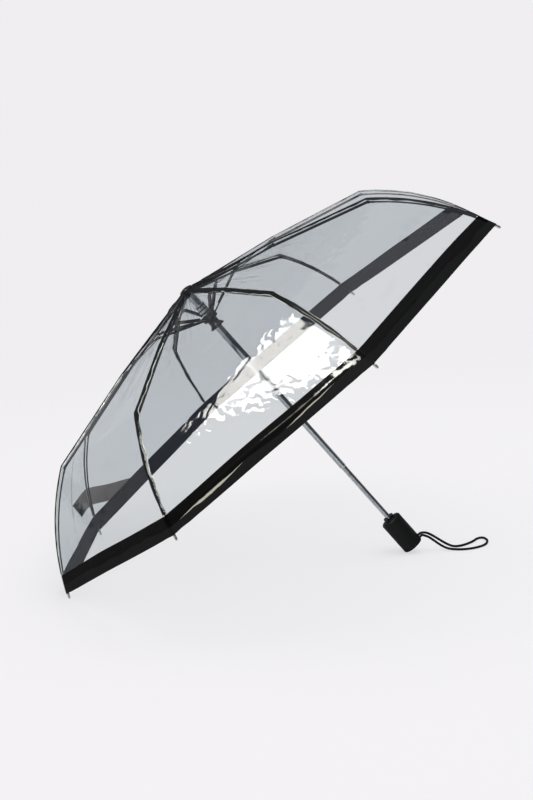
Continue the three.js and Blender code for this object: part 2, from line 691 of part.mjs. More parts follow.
function makeEndCap() {
  const top = -HANDLE_BOTTOM + END_CAP_SEAT - GAP;
  return turned([
    [0, -HANDLE_BOTTOM - END_CAP_DOME],
    [END_CAP_RADIUS / 2, -HANDLE_BOTTOM - (3 * END_CAP_DOME) / 4],
    [END_CAP_RADIUS, -HANDLE_BOTTOM],
    [END_CAP_RADIUS, top],
    [0, top],
  ]);
}

function makeCordClamp() {
  return block(
    CLAMP_THICKNESS,
    2 * CORD_RADIUS,
    CORD_SPACING + 2 * CORD_RADIUS,
    CORD_SIDE * (CLAMP_INSIDE + CLAMP_THICKNESS / 2),
    0,
    -CORD_EXIT_DEPTH,
  );
}

// Scene: every moving piece hangs on a group at its hinge or slide
const umbrella = new THREE.Group();

function hung(parent, place, name) {
  const group = new THREE.Group();
  group.name = name;
  const world = new THREE.Vector3(place.x, 0, place.y);
  group.position.copy(world).sub(parent.userData.world ?? new THREE.Vector3());
  group.userData.world = world;
  parent.add(group);
  return group;
}

function placed(group, mesh) {
  if (group.userData.world) mesh.position.copy(group.userData.world).negate();
  group.add(mesh);
}

const onShaft = (depth) => at(0, -depth);
const shaftTop = hung(umbrella, onShaft(0), "shaft_top");
const runnerSlide = hung(shaftTop, onShaft(RUNNER_TOP), "runner_slide");
const middleSlide = hung(shaftTop, onShaft(MIDDLE_TUBE_START), "middle_tube_slide");
const bottomSlide = hung(middleSlide, onShaft(BOTTOM_TUBE_START), "bottom_tube_slide");
bottomSlide.rotation.z = -GORE_ANGLE / 2;

placed(shaftTop, pieceOf("crown_hub", makeCrownHub(), BLACK_PLASTIC));
placed(shaftTop, pieceOf("crown_cap", makeCrownCap(), BLACK_PLASTIC));
placed(shaftTop, pieceOf("top_tube", makeTopTube(), CHROME));
placed(shaftTop, pieceOf("top_stop", makeTopStop(), BLACK_PLASTIC));
placed(shaftTop, pieceOf("canopy_film", makeFilm(), CLEAR_FILM));
placed(shaftTop, pieceOf("canopy_hem", makeHem(), HEM_FABRIC));
placed(runnerSlide, pieceOf("runner", makeRunner(), BLACK_PLASTIC));
placed(middleSlide, pieceOf("middle_tube", makeMiddleTube(), CHROME));
placed(bottomSlide, pieceOf("bottom_tube", makeBottomTube(), CHROME));
placed(bottomSlide, pieceOf("handle_shell", makeHandleShell(), RUBBER_BLACK));
placed(bottomSlide, pieceOf("handle_sleeve", makeHandleSleeve(), BLACK_PLASTIC));
placed(bottomSlide, pieceOf("handle_roll_pin", makeRollPin(), CHROME));
placed(bottomSlide, pieceOf("handle_end_cap", makeEndCap(), BLACK_PLASTIC));
placed(bottomSlide, pieceOf("cord_clamp", makeCordClamp(), BLACK_PLASTIC));

for (let rib = 0; rib < RIB_COUNT; rib++) {
  const number = rib + 1;
  const plane = new THREE.Group();
  plane.rotation.z = rib * GORE_ANGLE;
  umbrella.add(plane);
  const topHinge = hung(plane, CROWN_PIN, `top_rib_${number}_hinge`);
  const strutHinge = hung(topHinge, STRUT_PIN, `strut_${number}_hinge`);
  const linkHinge = hung(strutHinge, LINK_PIN, `link_${number}_hinge`);
  const middleHinge = hung(topHinge, FIRST_PIN, `middle_rib_${number}_hinge`);
  const outerHinge = hung(middleHinge, SECOND_PIN, `outer_rib_${number}_hinge`);
  placed(topHinge, pieceOf(`top_rib_${number}`, makeTopRib(), BLACK_STEEL));
  placed(strutHinge, pieceOf(`strut_${number}`, makeStrut(), BLACK_STEEL));
  placed(linkHinge, pieceOf(`link_${number}`, makeLink(), BLACK_STEEL));
  placed(middleHinge, pieceOf(`middle_rib_${number}`, makeMiddleRib(), BLACK_STEEL));
  placed(outerHinge, pieceOf(`outer_rib_${number}`, makeOuterRib(), BLACK_STEEL));
}

// Resting pose: the tilt at which the tips of the first and the last rib and the handle's end edge
// touch one level floor. Each touches with a round end, in the plane midway between those two ribs.
const TIP_TOUCH = at(WIRE_TIP.x * Math.cos(GORE_ANGLE / 2), WIRE_TIP.y);
const HANDLE_TOUCH = at(HANDLE_RADIUS - HANDLE_ROUNDING, -HANDLE_BOTTOM + HANDLE_ROUNDING);
const touching = TIP_TOUCH.clone().sub(HANDLE_TOUCH);
const tiltWith = (tipRounding) =>
  Math.atan2(touching.y, touching.x) - Math.asin((tipRounding - HANDLE_ROUNDING) / touching.length());

// How far the tip's end edge reaches below the middle of its end, at a given tilt
function edgeReach(tilt) {
  const down = RIM_HEADING.x * Math.cos(GORE_ANGLE / 2) * Math.sin(tilt) - RIM_HEADING.y * Math.cos(tilt);
  return (TIP_CAP_RADIUS / 2) * Math.sqrt(1 - down ** 2);
}
const TILT = tiltWith(edgeReach(tiltWith(0)));
umbrella.rotation.set(0, -TILT, Math.PI + GORE_ANGLE / 2, "YXZ");
const FLOOR = -Math.sin(TILT) * HANDLE_TOUCH.x + Math.cos(TILT) * HANDLE_TOUCH.y - HANDLE_ROUNDING;

// Wrist cord: offsets from the middle of its slot's mouth, with the last value the height over the floor
const slotMouth = new THREE.Vector3(
  -Math.cos(TILT) * CORD_SIDE * HANDLE_RADIUS + Math.sin(TILT) * CORD_EXIT_DEPTH,
  0,
  -Math.sin(TILT) * CORD_SIDE * HANDLE_RADIUS - Math.cos(TILT) * CORD_EXIT_DEPTH - FLOOR,
);
const CORD_ROUTE = [
  [10, 0, 25.8],
  [16.5, 0, 22.8],
  [23, -0.5, 18.2],
  [30, -1, 12.9],
  [37.5, -1.8, 7.8],
  [46, -2.8, 4],
  [56, -4.2, 2.4],
  [68.6, -6, 2.2],
  [82.7, -3.5, 2.2],
  [96.9, 4, 2.2],
  [108.5, 16, 2.2],
  [114.3, 32, 2.2],
  [114.4, 47, 2.2],
  [109, 56.5, 2.2],
  [101.5, 53.5, 2.2],
  [93, 40, 2.2],
  [80, 24, 2.2],
  [66.5, 13.5, 2.4],
  [56, 7.5, 4.2],
  [47.5, 4.5, 8.2],
  [39.5, 2.6, 13.3],
  [32, 1.4, 18.7],
  [25, 0.6, 23.6],
  [18, 0.2, 28],
  [10.5, 0, 31],
];

function makeCord() {
  const sideways = new THREE.Vector3(Math.cos(TILT), 0, Math.sin(TILT));
  const shaftwards = new THREE.Vector3(-Math.sin(TILT), 0, Math.cos(TILT));
  const fromSlot = (up, out) =>
    slotMouth
      .clone()
      .addScaledVector(shaftwards, (up * CORD_SPACING) / 2)
      .addScaledVector(sideways, out);
  const straight = [-CORD_INSIDE, 0, CORD_RADIUS, 2 * CORD_RADIUS];
  const route = [
    ...straight.map((out) => fromSlot(-1, out)),
    ...CORD_ROUTE.map(([x, y, height]) => new THREE.Vector3(slotMouth.x + x, y, height)),
    ...straight.map((out) => fromSlot(1, out)).reverse(),
  ];
  const extrudePath = new THREE.CatmullRomCurve3(route, false, "centripetal");
  const section = new THREE.Shape(
    new THREE.EllipseCurve(0, 0, CORD_RADIUS, CORD_RADIUS).getPoints(CORD_SIDES).slice(0, CORD_SIDES),
  );
  return solidOf(new THREE.ExtrudeGeometry(section, { steps: CORD_STEPS, extrudePath, bevelEnabled: false }));
}

umbrella.position.z = -FLOOR;
const lying = new THREE.Group();
lying.add(umbrella);
lying.updateMatrixWorld(true);

// Closing strap: it stands out from its seam and its free end hangs. The shares are of its width, as
// offsets along X and Z from the middle of the seam: the upper edge first, then the lower edge.
const STRAP_EDGE_SHARES = [
  [
    [-1.49, 0.18],
    [-2.73, -0.02],
    [-3.11, -0.27],
    [-3.46, -0.69],
    [-3.86, -1.17],
  ],
  [
    [-1.71, -0.97],
    [-2.49, -1.12],
    [-2.76, -1.29],
    [-2.97, -1.51],
    [-3.3, -1.96],
  ],
];
const strapGore = RIB_COUNT - 2 + STRAP_PLACE_SHARE;
const onCanopy = (gore, fromRim) =>
  umbrella.localToWorld(canopyPoint(gore, RIM_LENGTH - fromRim, -STRAP_SEAM_HEIGHT));
const strapSeam = onCanopy(strapGore, STRAP_FROM_RIM);

function makeStrap() {
  const pointAt = (row, column, under) => {
    const side = row === 0 ? 1 : -1;
    const [x, z] = column === 0 ? [0, 0] : STRAP_EDGE_SHARES[row][column - 1];
    const free = new THREE.Vector3(x, 0, z).multiplyScalar(STRAP_WIDTH).add(strapSeam);
    const sewn = onCanopy(strapGore - side * STRAP_SLANT_SHARE, STRAP_FROM_RIM + (side * STRAP_WIDTH) / 2);
    const place = column === 0 ? sewn : free;
    place.y += (1 - under) * STRAP_THICKNESS;
    return place;
  };
  return skin(2, STRAP_EDGE_SHARES[0].length + 1, pointAt, false);
}

// The grip patch lies on the strap's last stretch, square to its end
function makeStrapPatch() {
  const [outer, inner] = STRAP_EDGE_SHARES.map((edge) =>
    edge.slice(-2).map(([x, z]) => at(x, z).multiplyScalar(STRAP_WIDTH).add(at(strapSeam.x, strapSeam.z))),
  );
  const across = inner[1].clone().sub(outer[1]).normalize();
  const along = outer[0].clone().sub(outer[1]).normalize();
  const from = (corner, side, length) =>
    corner.clone().addScaledVector(across, side * PATCH_MARGIN).addScaledVector(along, length);
  const outline = [
    from(outer[1], 1, PATCH_MARGIN),
    from(inner[1], -1, PATCH_MARGIN),
    from(inner[1], -1, PATCH_MARGIN + PATCH_LENGTH),
    from(outer[1], 1, PATCH_MARGIN + PATCH_LENGTH),
  ];
  const back = strapSeam.y - SEAM_GAP;
  return slab(outline, back - PATCH_THICKNESS, back);
}

lying.add(pieceOf("closing_strap", makeStrap(), STRAP_FABRIC));
lying.add(pieceOf("strap_patch", makeStrapPatch(), HEM_FABRIC));
const reach = new THREE.Box3().setFromObject(lying, true);
const centre = reach.getCenter(new THREE.Vector3());
lying.add(pieceOf("wrist_cord", makeCord(), RUBBER_BLACK));
lying.position.set(-centre.x, -centre.y, -reach.min.z);

const folding_umbrella = new THREE.Group();
folding_umbrella.add(lying);

export default folding_umbrella;
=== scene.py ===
# %% [markdown]
# A folding umbrella with a clear canopy lies open on a pale floor: it rests on two rib tips and on its
# handle. The CAD frame gives every rib, tube and hinge its place. This lesson dresses that frame with a
# real film, its hem and seams, smoother turned parts and finishes. All sizes are in metres, and the
# script starts by loading the frame, because every later piece is placed from it.

# %% Load the frame
import json
import math

import bpy
from mathutils import Matrix, Quaternion, Vector, noise


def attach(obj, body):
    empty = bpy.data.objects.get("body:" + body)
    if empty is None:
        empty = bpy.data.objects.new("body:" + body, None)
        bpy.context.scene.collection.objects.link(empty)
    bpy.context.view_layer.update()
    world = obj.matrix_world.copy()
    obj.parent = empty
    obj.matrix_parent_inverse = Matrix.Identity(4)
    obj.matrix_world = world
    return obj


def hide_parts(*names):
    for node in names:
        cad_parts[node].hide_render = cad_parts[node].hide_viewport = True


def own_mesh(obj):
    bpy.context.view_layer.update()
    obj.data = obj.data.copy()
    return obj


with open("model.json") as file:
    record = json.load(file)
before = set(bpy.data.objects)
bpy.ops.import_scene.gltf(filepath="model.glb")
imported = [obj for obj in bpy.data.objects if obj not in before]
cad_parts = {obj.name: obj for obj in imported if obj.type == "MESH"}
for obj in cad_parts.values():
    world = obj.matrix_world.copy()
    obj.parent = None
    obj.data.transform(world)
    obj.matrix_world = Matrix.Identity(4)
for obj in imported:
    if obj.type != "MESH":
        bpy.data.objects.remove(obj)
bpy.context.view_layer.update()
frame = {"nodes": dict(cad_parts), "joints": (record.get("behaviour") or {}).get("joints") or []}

MM = 0.001

# %% [markdown]
# The umbrella lies tilted, but its pieces are easiest to model upright, with the shaft as Z and the
# crown at the origin, as a maker would hold it. The hinges of the eight top ribs lie on a circle round
# the shaft, so their middle and the direction of the runner's slide give the one matrix that takes an
# upright piece to its place.

# %% The shaft's own axes
RIBS = 8
GORE = 2 * math.pi / RIBS
PIN_DEPTH = 7 * MM

joints = {joint["name"]: joint for joint in frame["joints"]}
top_hinges = [Vector(joints[f"top_rib_{n}_hinge"]["pos_m"]) for n in range(1, RIBS + 1)]
hinge_centre = sum(top_hinges, Vector()) / RIBS
shaft_up = -Vector(joints["runner_slide"]["axis"]).normalized()
rib_one = (top_hinges[0] - hinge_centre).normalized()
crown = hinge_centre + shaft_up * PIN_DEPTH
SHAFT = Matrix.Translation(crown) @ Matrix((rib_one, shaft_up.cross(rib_one), shaft_up)).transposed().to_4x4()
TOWARD_FLOOR = Matrix.Rotation(-GORE / 2, 4, "Z")
print("crown at", tuple(round(v, 4) for v in crown))

# %% [markdown]
# The camera stands low and far back, so the canopy hardly changes with distance. Its place and its
# angle were worked out from the rib ends and folds that the photograph shows.

# %% Camera
PHOTO_WIDTH, PHOTO_HEIGHT = 533, 800
FOCAL_PIXELS = 1442.77
SENSOR_MM = 36
CAMERA_PLACE = Vector((0.08082, -2.27775, 0.68363))
CAMERA_RIGHT = Vector((0.99854, 0.02369, -0.0486))
CAMERA_FORWARD = Vector((-0.03218, 0.98279, -0.18191))

bpy.ops.object.select_all(action="DESELECT")
bpy.ops.object.camera_add()
camera = bpy.context.object
camera.name = "camera"
camera_up = CAMERA_RIGHT.cross(CAMERA_FORWARD).normalized()
camera_turn = Matrix((CAMERA_RIGHT, camera_up, -CAMERA_FORWARD)).transposed().to_4x4()
camera.matrix_world = Matrix.Translation(CAMERA_PLACE) @ camera_turn
camera.data.sensor_width = SENSOR_MM
camera.data.lens = FOCAL_PIXELS * SENSOR_MM / max(PHOTO_WIDTH, PHOTO_HEIGHT)
camera.data.clip_start = 0.05
camera.data.clip_end = 60
bpy.context.scene.camera = camera
print("lens", round(camera.data.lens, 2), "mm")

# %% [markdown]
# The wrist cord is a limp black cord, 4 mm thick. Both its ends go into a slot in the handle's side, so
# it makes one loop: out of the handle, down to the floor, round, and back. The route is a list of
# points on the cord's middle line, in the same places as in the CAD source.

# %% Route of the wrist cord
CORD_DIAMETER = 4 * MM
CORD_SPACING = 4.4 * MM
CORD_EXIT_DEPTH = 549.8 * MM
CORD_INSIDE = 3.4 * MM
HANDLE_RADIUS = 17.4 * MM
CORD_ROUTE_MM = [
    (10, 0, 25.8), (16.5, 0, 22.8), (23, -0.5, 18.2), (30, -1, 12.9), (37.5, -1.8, 7.8), (46, -2.8, 4),
    (56, -4.2, 2.4), (68.6, -6, 2.2), (82.7, -3.5, 2.2), (96.9, 4, 2.2), (108.5, 16, 2.2), (114.3, 32, 2.2),
    (114.4, 47, 2.2), (109, 56.5, 2.2), (101.5, 53.5, 2.2), (93, 40, 2.2), (80, 24, 2.2), (66.5, 13.5, 2.4),
    (56, 7.5, 4.2), (47.5, 4.5, 8.2), (39.5, 2.6, 13.3), (32, 1.4, 18.7), (25, 0.6, 23.6), (18, 0.2, 28),
    (10.5, 0, 31),
]  # fmt: skip
slot_mouth = SHAFT @ TOWARD_FLOOR @ Vector((-HANDLE_RADIUS, 0, -CORD_EXIT_DEPTH))
sideways = (SHAFT @ TOWARD_FLOOR).to_3x3() @ Vector((-1, 0, 0))


def through_slot(side):
    start = slot_mouth + shaft_up * side * CORD_SPACING / 2
    return [start + sideways * out for out in (-CORD_INSIDE, 0, CORD_DIAMETER / 2, CORD_DIAMETER)]


cord_points = [
    *through_slot(-1),
    *(Vector((slot_mouth.x + x * MM, y * MM, height * MM)) for x, y, height in CORD_ROUTE_MM),
    *reversed(through_slot(1)),
]

# %% [markdown]
# A curve with a round bevel is the natural tool for a cord. The bevel is one metre and each point's
# radius scales it down to the cord's.

# %% Wrist cord
cord_curve = bpy.data.curves.new("wrist_cord_line", "CURVE")
cord_curve.dimensions = "3D"
cord_curve.bevel_depth = 1
cord_curve.bevel_resolution = 4
cord_spline = cord_curve.splines.new("BEZIER")
cord_spline.bezier_points.add(len(cord_points) - 1)
for point, place in zip(cord_spline.bezier_points, cord_points):
    point.co = place
    point.radius = CORD_DIAMETER / 2
    point.handle_left_type = point.handle_right_type = "AUTO"
cord_spline.resolution_u = 6
cord_loop = bpy.data.objects.new("cord_loop", cord_curve)
bpy.context.collection.objects.link(cord_loop)
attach(cord_loop, "handle")
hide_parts("wrist_cord")
print(cord_loop.name, "has", len(cord_points), "points")

# %% [markdown]
# Finishes are made with nodes only. A colour is written as the sRGB hex value that a colour picker
# gives, and one function turns it into the linear value that the shader needs. One more function adds a
# node with its settings and its links, so a material reads like a list of what it is made of.

# %% Material helpers
def linear(hex_colour):
    channels = [int(hex_colour[i : i + 2], 16) / 255 for i in (0, 2, 4)]
    return (*(c / 12.92 if c <= 0.04045 else ((c + 0.055) / 1.055) ** 2.4 for c in channels), 1)


def add_node(tree, kind, settings=None, links=None):
    """Adds a node. Settings are its properties or the values of its inputs; links go to its inputs."""
    node = tree.nodes.new("ShaderNode" + kind)
    for name, value in (settings or {}).items():
        if isinstance(name, int) or name in node.inputs:
            node.inputs[name].default_value = value
        else:
            setattr(node, name, value)
    for name, source in (links or {}).items():
        tree.links.new(source, node.inputs[name])
    return node


def new_material(name):
    material = bpy.data.materials.new(name)
    material.use_nodes = True
    material.node_tree.nodes.clear()
    return material, material.node_tree


def finished(tree, shader):
    add_node(tree, "OutputMaterial", links={"Surface": shader.outputs[0]})


def bump_from(tree, height, distance, strength=1.0):
    return add_node(tree, "Bump", {"Distance": distance, "Strength": strength}, {"Height": height}).outputs[0]


def grain(tree, size, detail=2.0, roughness=0.5, stretch=(1, 1, 1)):
    """Noise on the object's own coordinates, with a grain of the given size in metres."""
    place = add_node(tree, "TexCoord").outputs["Object"]
    scaled = add_node(tree, "Mapping", {"Scale": stretch}, {"Vector": place}).outputs[0]
    settings = {"Scale": 1 / size, "Detail": detail, "Roughness": roughness}
    return add_node(tree, "TexNoise", settings, {"Vector": scaled}).outputs[0]


def between(tree, value, low, high):
    """Stretches a value from 0 to 1 into the range from low to high."""
    settings = {"From Min": 0.3, "From Max": 0.7, "To Min": low, "To Max": high}
    return add_node(tree, "MapRange", settings, {"Value": value}).outputs[0]


def tinted(tree, value, dark, light):
    mix = add_node(tree, "Mix", {"data_type": "RGBA", 6: linear(dark), 7: linear(light)}, {0: value})
    return mix.outputs[2]


def solid_finish(name, dark, light, rough, grain_size, bump_depth, **settings):
    """A solid surface: two near colours in a fine grain, which also moves its gloss and its relief."""
    material, tree = new_material(name)
    noise_value = grain(tree, grain_size, 3.0)
    shade = between(tree, noise_value, 0.0, 1.0)
    links = {
        "Base Color": tinted(tree, shade, dark, light),
        "Roughness": between(tree, noise_value, *rough),
        "Normal": bump_from(tree, noise_value, bump_depth),
    }
    finished(tree, add_node(tree, "BsdfPrincipled", settings, links))
    return material


print("sRGB 808080 is linear", round(linear("808080")[0], 3))

# %% [markdown]
# Hard finishes. The tubes are chrome-plated steel: a metal with very low roughness. The ribs are
# painted black, the runner and the crown are moulded ABS, which is smooth with a faint grain, and the
# handle has a soft-touch coat, which is duller. The cord is a braided polyester with almost no gloss.

# %% Hard finishes
DULL = {"Specular IOR Level": 0.15}
MOULDED = {"Specular IOR Level": 0.25}
METAL = {"Metallic": 1.0}
SATIN = {"Metallic": 0.9}

chrome_plate = solid_finish(
    "chrome_plated_steel", "9EA2A6", "B9BDC1", (0.1, 0.16), 6 * MM, 0.005 * MM, **METAL
)
nickel_tip = solid_finish("nickel_plated_tip", "A9A8A4", "C6C5C1", (0.2, 0.3), 2 * MM, 0.01 * MM, **METAL)
black_paint = solid_finish("painted_steel_rib", "060607", "0E0F10", (0.36, 0.48), 3 * MM, 0.01 * MM, **DULL)
moulded_abs = solid_finish(
    "moulded_black_abs", "060608", "0D0D10", (0.34, 0.46), 0.9 * MM, 0.01 * MM, **MOULDED
)
soft_touch = solid_finish("soft_touch_handle", "080909", "0F1010", (0.5, 0.62), 0.7 * MM, 0.02 * MM, **DULL)
cord_braid = solid_finish("braided_polyester", "050507", "17171A", (0.7, 0.9), 0.8 * MM, 0.15 * MM, **DULL)
satin_band = solid_finish("satin_nickel_band", "A9ABAC", "D8D9DA", (0.25, 0.35), 3 * MM, 0.01 * MM, **SATIN)

cord_loop.data.materials.append(cord_braid)
hard = (chrome_plate, nickel_tip, black_paint, moulded_abs, soft_touch, cord_braid, satin_band)
print("hard finishes:", [finish.name for finish in hard])

# %% [markdown]
# The canopy is a clear film, about 0.2 mm thick, with a cool grey tint. Each sheet's UV map holds the
# gore in U and the distance from the crown, in metres, in V, so creases can run out from the crown, as
# they do on a film that is folded every day. There they are many and close. Their darkness is painted
# shade: a sharp crease turns the light away, and that is painted into the film's tint as dark lines. A
# stretched noise gives them: wherever its value passes the middle, there is a line, and the line is
# wider near the crown, so the film close to the crown gets a broad band of painted shade.

# %% Creases in the film
CREASES_PER_GORE = 22
CREASES_PER_METRE = 2.2
CREASE_REACH = 280 * MM
CREASE_WIDTH = 0.12
GATHERED_REACH = 55 * MM
GATHERED_WIDTH = 0.4
FAR_FROM_CROWN = 0.3


def crease_lines(tree, marks):
    """Painted crease shade: 1 on the creases that run out from the crown, 0 between them."""
    reach = add_node(tree, "SeparateXYZ", links={0: marks}).outputs[1]
    settings = {"From Max": CREASE_REACH, "To Min": CREASE_WIDTH, "To Max": 0.0}
    spread_out = add_node(tree, "MapRange", settings, {"Value": reach}).outputs[0]
    settings = {"From Max": GATHERED_REACH, "To Min": GATHERED_WIDTH, "To Max": 0.0}
    gathered = add_node(tree, "MapRange", settings, {"Value": reach}).outputs[0]
    width = add_node(tree, "Math", {"operation": "ADD"}, {0: spread_out, 1: gathered}).outputs[0]
    stretch = {"Scale": (CREASES_PER_GORE, CREASES_PER_METRE, 1)}
    run = add_node(tree, "Mapping", stretch, {"Vector": marks}).outputs[0]
    settings = {"Scale": 1.0, "Detail": 1.5, "Roughness": 0.5}
    streak = add_node(tree, "TexNoise", settings, {"Vector": run}).outputs[0]
    off = add_node(tree, "Math", {"operation": "SUBTRACT", 1: 0.5}, {0: streak}).outputs[0]
    off = add_node(tree, "Math", {"operation": "ABSOLUTE"}, {0: off}).outputs[0]
    settings = {"To Min": 1.0, "To Max": 0.0}
    line = add_node(tree, "MapRange", settings, {"Value": off, "From Max": width}).outputs[0]
    settings = {"From Max": CREASE_REACH / 2, "To Min": 1.0, "To Max": FAR_FROM_CROWN}
    fainter = add_node(tree, "MapRange", settings, {"Value": reach}).outputs[0]
    return add_node(tree, "Math", {"operation": "MULTIPLY"}, {0: line, 1: fainter}).outputs[0]


print("creases end", round(CREASE_REACH, 3), "m from the crown")

# %% [markdown]
# A film mirrors more towards a grazing view, and Layer Weight tells how grazing it is. In spots the film
# is tilted off its neighbours and mirrors the dark room instead of a lamp, so its mirror image is torn.

# %% Mirror image in the film
TILTED_SPOTS = (7, 26, 1)
SPOT_EDGE = (0.6, 0.615)
LEFT_IN_SPOTS = 0.12


def mirror_share(tree, marks, straight_on, grazing):
    """How much of what the eye sees is a mirror image: from straight_on to grazing, and little in spots."""
    facing = add_node(tree, "LayerWeight", {"Blend": 0.5}).outputs["Facing"]
    steep = add_node(tree, "Math", {"operation": "POWER", 1: 5.0}, {0: facing}).outputs[0]
    settings = {"To Min": straight_on, "To Max": grazing}
    share = add_node(tree, "MapRange", settings, {"Value": steep}).outputs[0]
    spots = add_node(tree, "Mapping", {"Scale": TILTED_SPOTS}, {"Vector": marks}).outputs[0]
    settings = {"Scale": 1.0, "Detail": 3.0, "Roughness": 0.6}
    spots = add_node(tree, "TexNoise", settings, {"Vector": spots}).outputs[0]
    low, high = SPOT_EDGE
    settings = {"From Min": low, "From Max": high, "To Min": 1.0, "To Max": LEFT_IN_SPOTS}
    spots = add_node(tree, "MapRange", settings, {"Value": spots}).outputs[0]
    return add_node(tree, "Math", {"operation": "MULTIPLY"}, {0: share, 1: spots}).outputs[0]


print("spots keep", LEFT_IN_SPOTS, "of the mirror image")

# %% [markdown]
# Such a film hardly bends light, so it needs no glass shader, which would need a closed wall: a
# Transparent shader with the tint passes light straight on, a little Diffuse adds its haze, and a
# Glossy shader adds the mirror image of the studio. Its relief is a noise folded back on itself, which
# gives the flat facets and sharp ridges of a stiff film. At the seams the film is double, and its
# near-black tint is partly the rib under it and partly painted shade for the light that the doubled
# film bends away. Its rolled edge is partly milky where it is thick and partly a painted highlight: an
# opaque near-white, broken by a noise.

# %% Film finish
HAZE = 0.024
HAZE_COLOUR = "D0D8E3"
FOLDED_BACK_AT = 0.12
GLASSY = 0.025


def film_finish(name, tint, painted_crease_shade, straight_on, grazing, ridge_size, ridge_depth):
    material, tree = new_material(name)
    marks = add_node(tree, "UVMap", {"uv_map": "gore_and_reach"}).outputs[0]
    colour = tinted(tree, crease_lines(tree, marks), tint, painted_crease_shade)
    share = mirror_share(tree, marks, straight_on, grazing)
    wave = grain(tree, ridge_size, 2.0, 0.5)
    fold = add_node(tree, "Math", {"operation": "PINGPONG", 1: FOLDED_BACK_AT}, {0: wave}).outputs[0]
    relief = bump_from(tree, fold, ridge_depth)
    clear = add_node(tree, "BsdfTransparent", links={"Color": colour}).outputs[0]
    haze_and_painted_glare = add_node(tree, "BsdfDiffuse", {"Color": linear(HAZE_COLOUR)}).outputs[0]
    body = add_node(tree, "MixShader", {0: HAZE}, {1: clear, 2: haze_and_painted_glare}).outputs[0]
    settings = {"Color": linear("FFFFFF"), "Roughness": GLASSY}
    shine = add_node(tree, "BsdfGlossy", settings, {"Normal": relief}).outputs[0]
    finished(tree, add_node(tree, "MixShader", links={0: share, 1: body, 2: shine}))
    return material


# The second colour of each film is its painted crease shade.
clear_film = film_finish("clear_canopy_film", "DEE2E4", "1A1E21", 0.014, 0.25, 34 * MM, 1.9 * MM)
# The seam's near-black tint is partly painted shade for the light that the doubled film bends away.
seam_film_painted_shade = film_finish("doubled_film_seam_painted_shade", "141716", "050606", 0.008, 0.02, 9 * MM, 1.0 * MM)

rolled_edge_milk_and_highlight, edge_tree = new_material("rolled_film_edge_milk_and_highlight")
edge_clear = add_node(edge_tree, "BsdfTransparent", {"Color": linear("C4CCC2")}).outputs[0]
# The near-white is partly the milky thick edge and partly a painted highlight, broken by a noise.
edge_milk_and_painted_highlight = add_node(edge_tree, "BsdfPrincipled", {"Base Color": linear("EEF2E8"), "Roughness": 0.25})
highlight_break_mask = between(edge_tree, grain(edge_tree, 28 * MM, 3.0), 0.1, 0.9)
edge_links = {0: highlight_break_mask, 1: edge_clear, 2: edge_milk_and_painted_highlight.outputs[0]}
finished(edge_tree, add_node(edge_tree, "MixShader", links=edge_links))
print("film finishes:", clear_film.name, seam_film_painted_shade.name, rolled_edge_milk_and_highlight.name)

# %% [markdown]
# The hem is black. Its inner half lies under the canopy's film, so it is deep black and glossy, and its
# outer half is bare binding, duller and a shade lighter. The border between them wavers: a slow noise is
# added to the distance from the crown before it is compared with the border's own.

# %% Border on the hem
HEM_WIDTH = 29 * MM
RIM_REACH = 538.5 * MM
HEM_SHINY_SHARE = 0.58
BORDER_WAVER = 3.5 * MM
BORDER_BLUR = 0.8 * MM
WAVER_STRETCH = (3.2, 14, 1)

hem_film, hem_tree = new_material("black_hem_binding")
hem_marks = add_node(hem_tree, "UVMap", {"uv_map": "gore_and_reach"}).outputs[0]
hem_gore = add_node(hem_tree, "SeparateXYZ", links={0: hem_marks}).outputs[0]
hem_reach = add_node(hem_tree, "SeparateXYZ", links={0: hem_marks}).outputs[1]
hem_along = add_node(hem_tree, "Mapping", {"Scale": WAVER_STRETCH}, {"Vector": hem_marks}).outputs[0]
hem_wave = add_node(hem_tree, "TexNoise", {"Scale": 1.0, "Detail": 3.0}, {"Vector": hem_along}).outputs[0]
hem_wave = between(hem_tree, hem_wave, -BORDER_WAVER, BORDER_WAVER)
hem_reach = add_node(hem_tree, "Math", {"operation": "ADD"}, {0: hem_reach, 1: hem_wave}).outputs[0]
hem_border = RIM_REACH - HEM_WIDTH * (1 - HEM_SHINY_SHARE)
settings = {"operation": "SUBTRACT", 1: hem_border}
hem_off = add_node(hem_tree, "Math", settings, {0: hem_reach}).outputs[0]
settings = {"From Min": -BORDER_BLUR, "From Max": BORDER_BLUR}
hem_bare = add_node(hem_tree, "MapRange", settings, {"Value": hem_off}).outputs[0]
print("hem's border", round(hem_border, 4), "m from the crown")

# %% [markdown]
# On two stretches of the hem a painted highlight lies along that border: a pale cream line of uneven
# width, up to 3 mm, that fades out at both ends. It is painted into the binding's colour and stands in
# for the left softbox's glare on the film over the hem.

# %% Painted glare streak on the hem
HEM_GLARE_STRETCHES = ((1.22, 0.17, 1), (1.72, 0.13, 0.4))
HEM_GLARE_NARROW, HEM_GLARE_WIDE = 0.8 * MM, 3 * MM
HEM_GLARE_RUN = (9, 3, 1)
SOFT_ENDS = 0.4


def away_from(place):
    """Distance along the rim, in gores, from a place on it."""
    settings = {"operation": "SUBTRACT", 1: place + 1}
    away = add_node(hem_tree, "Math", settings, {0: hem_gore}).outputs[0]
    return add_node(hem_tree, "Math", {"operation": "ABSOLUTE"}, {0: away}).outputs[0]


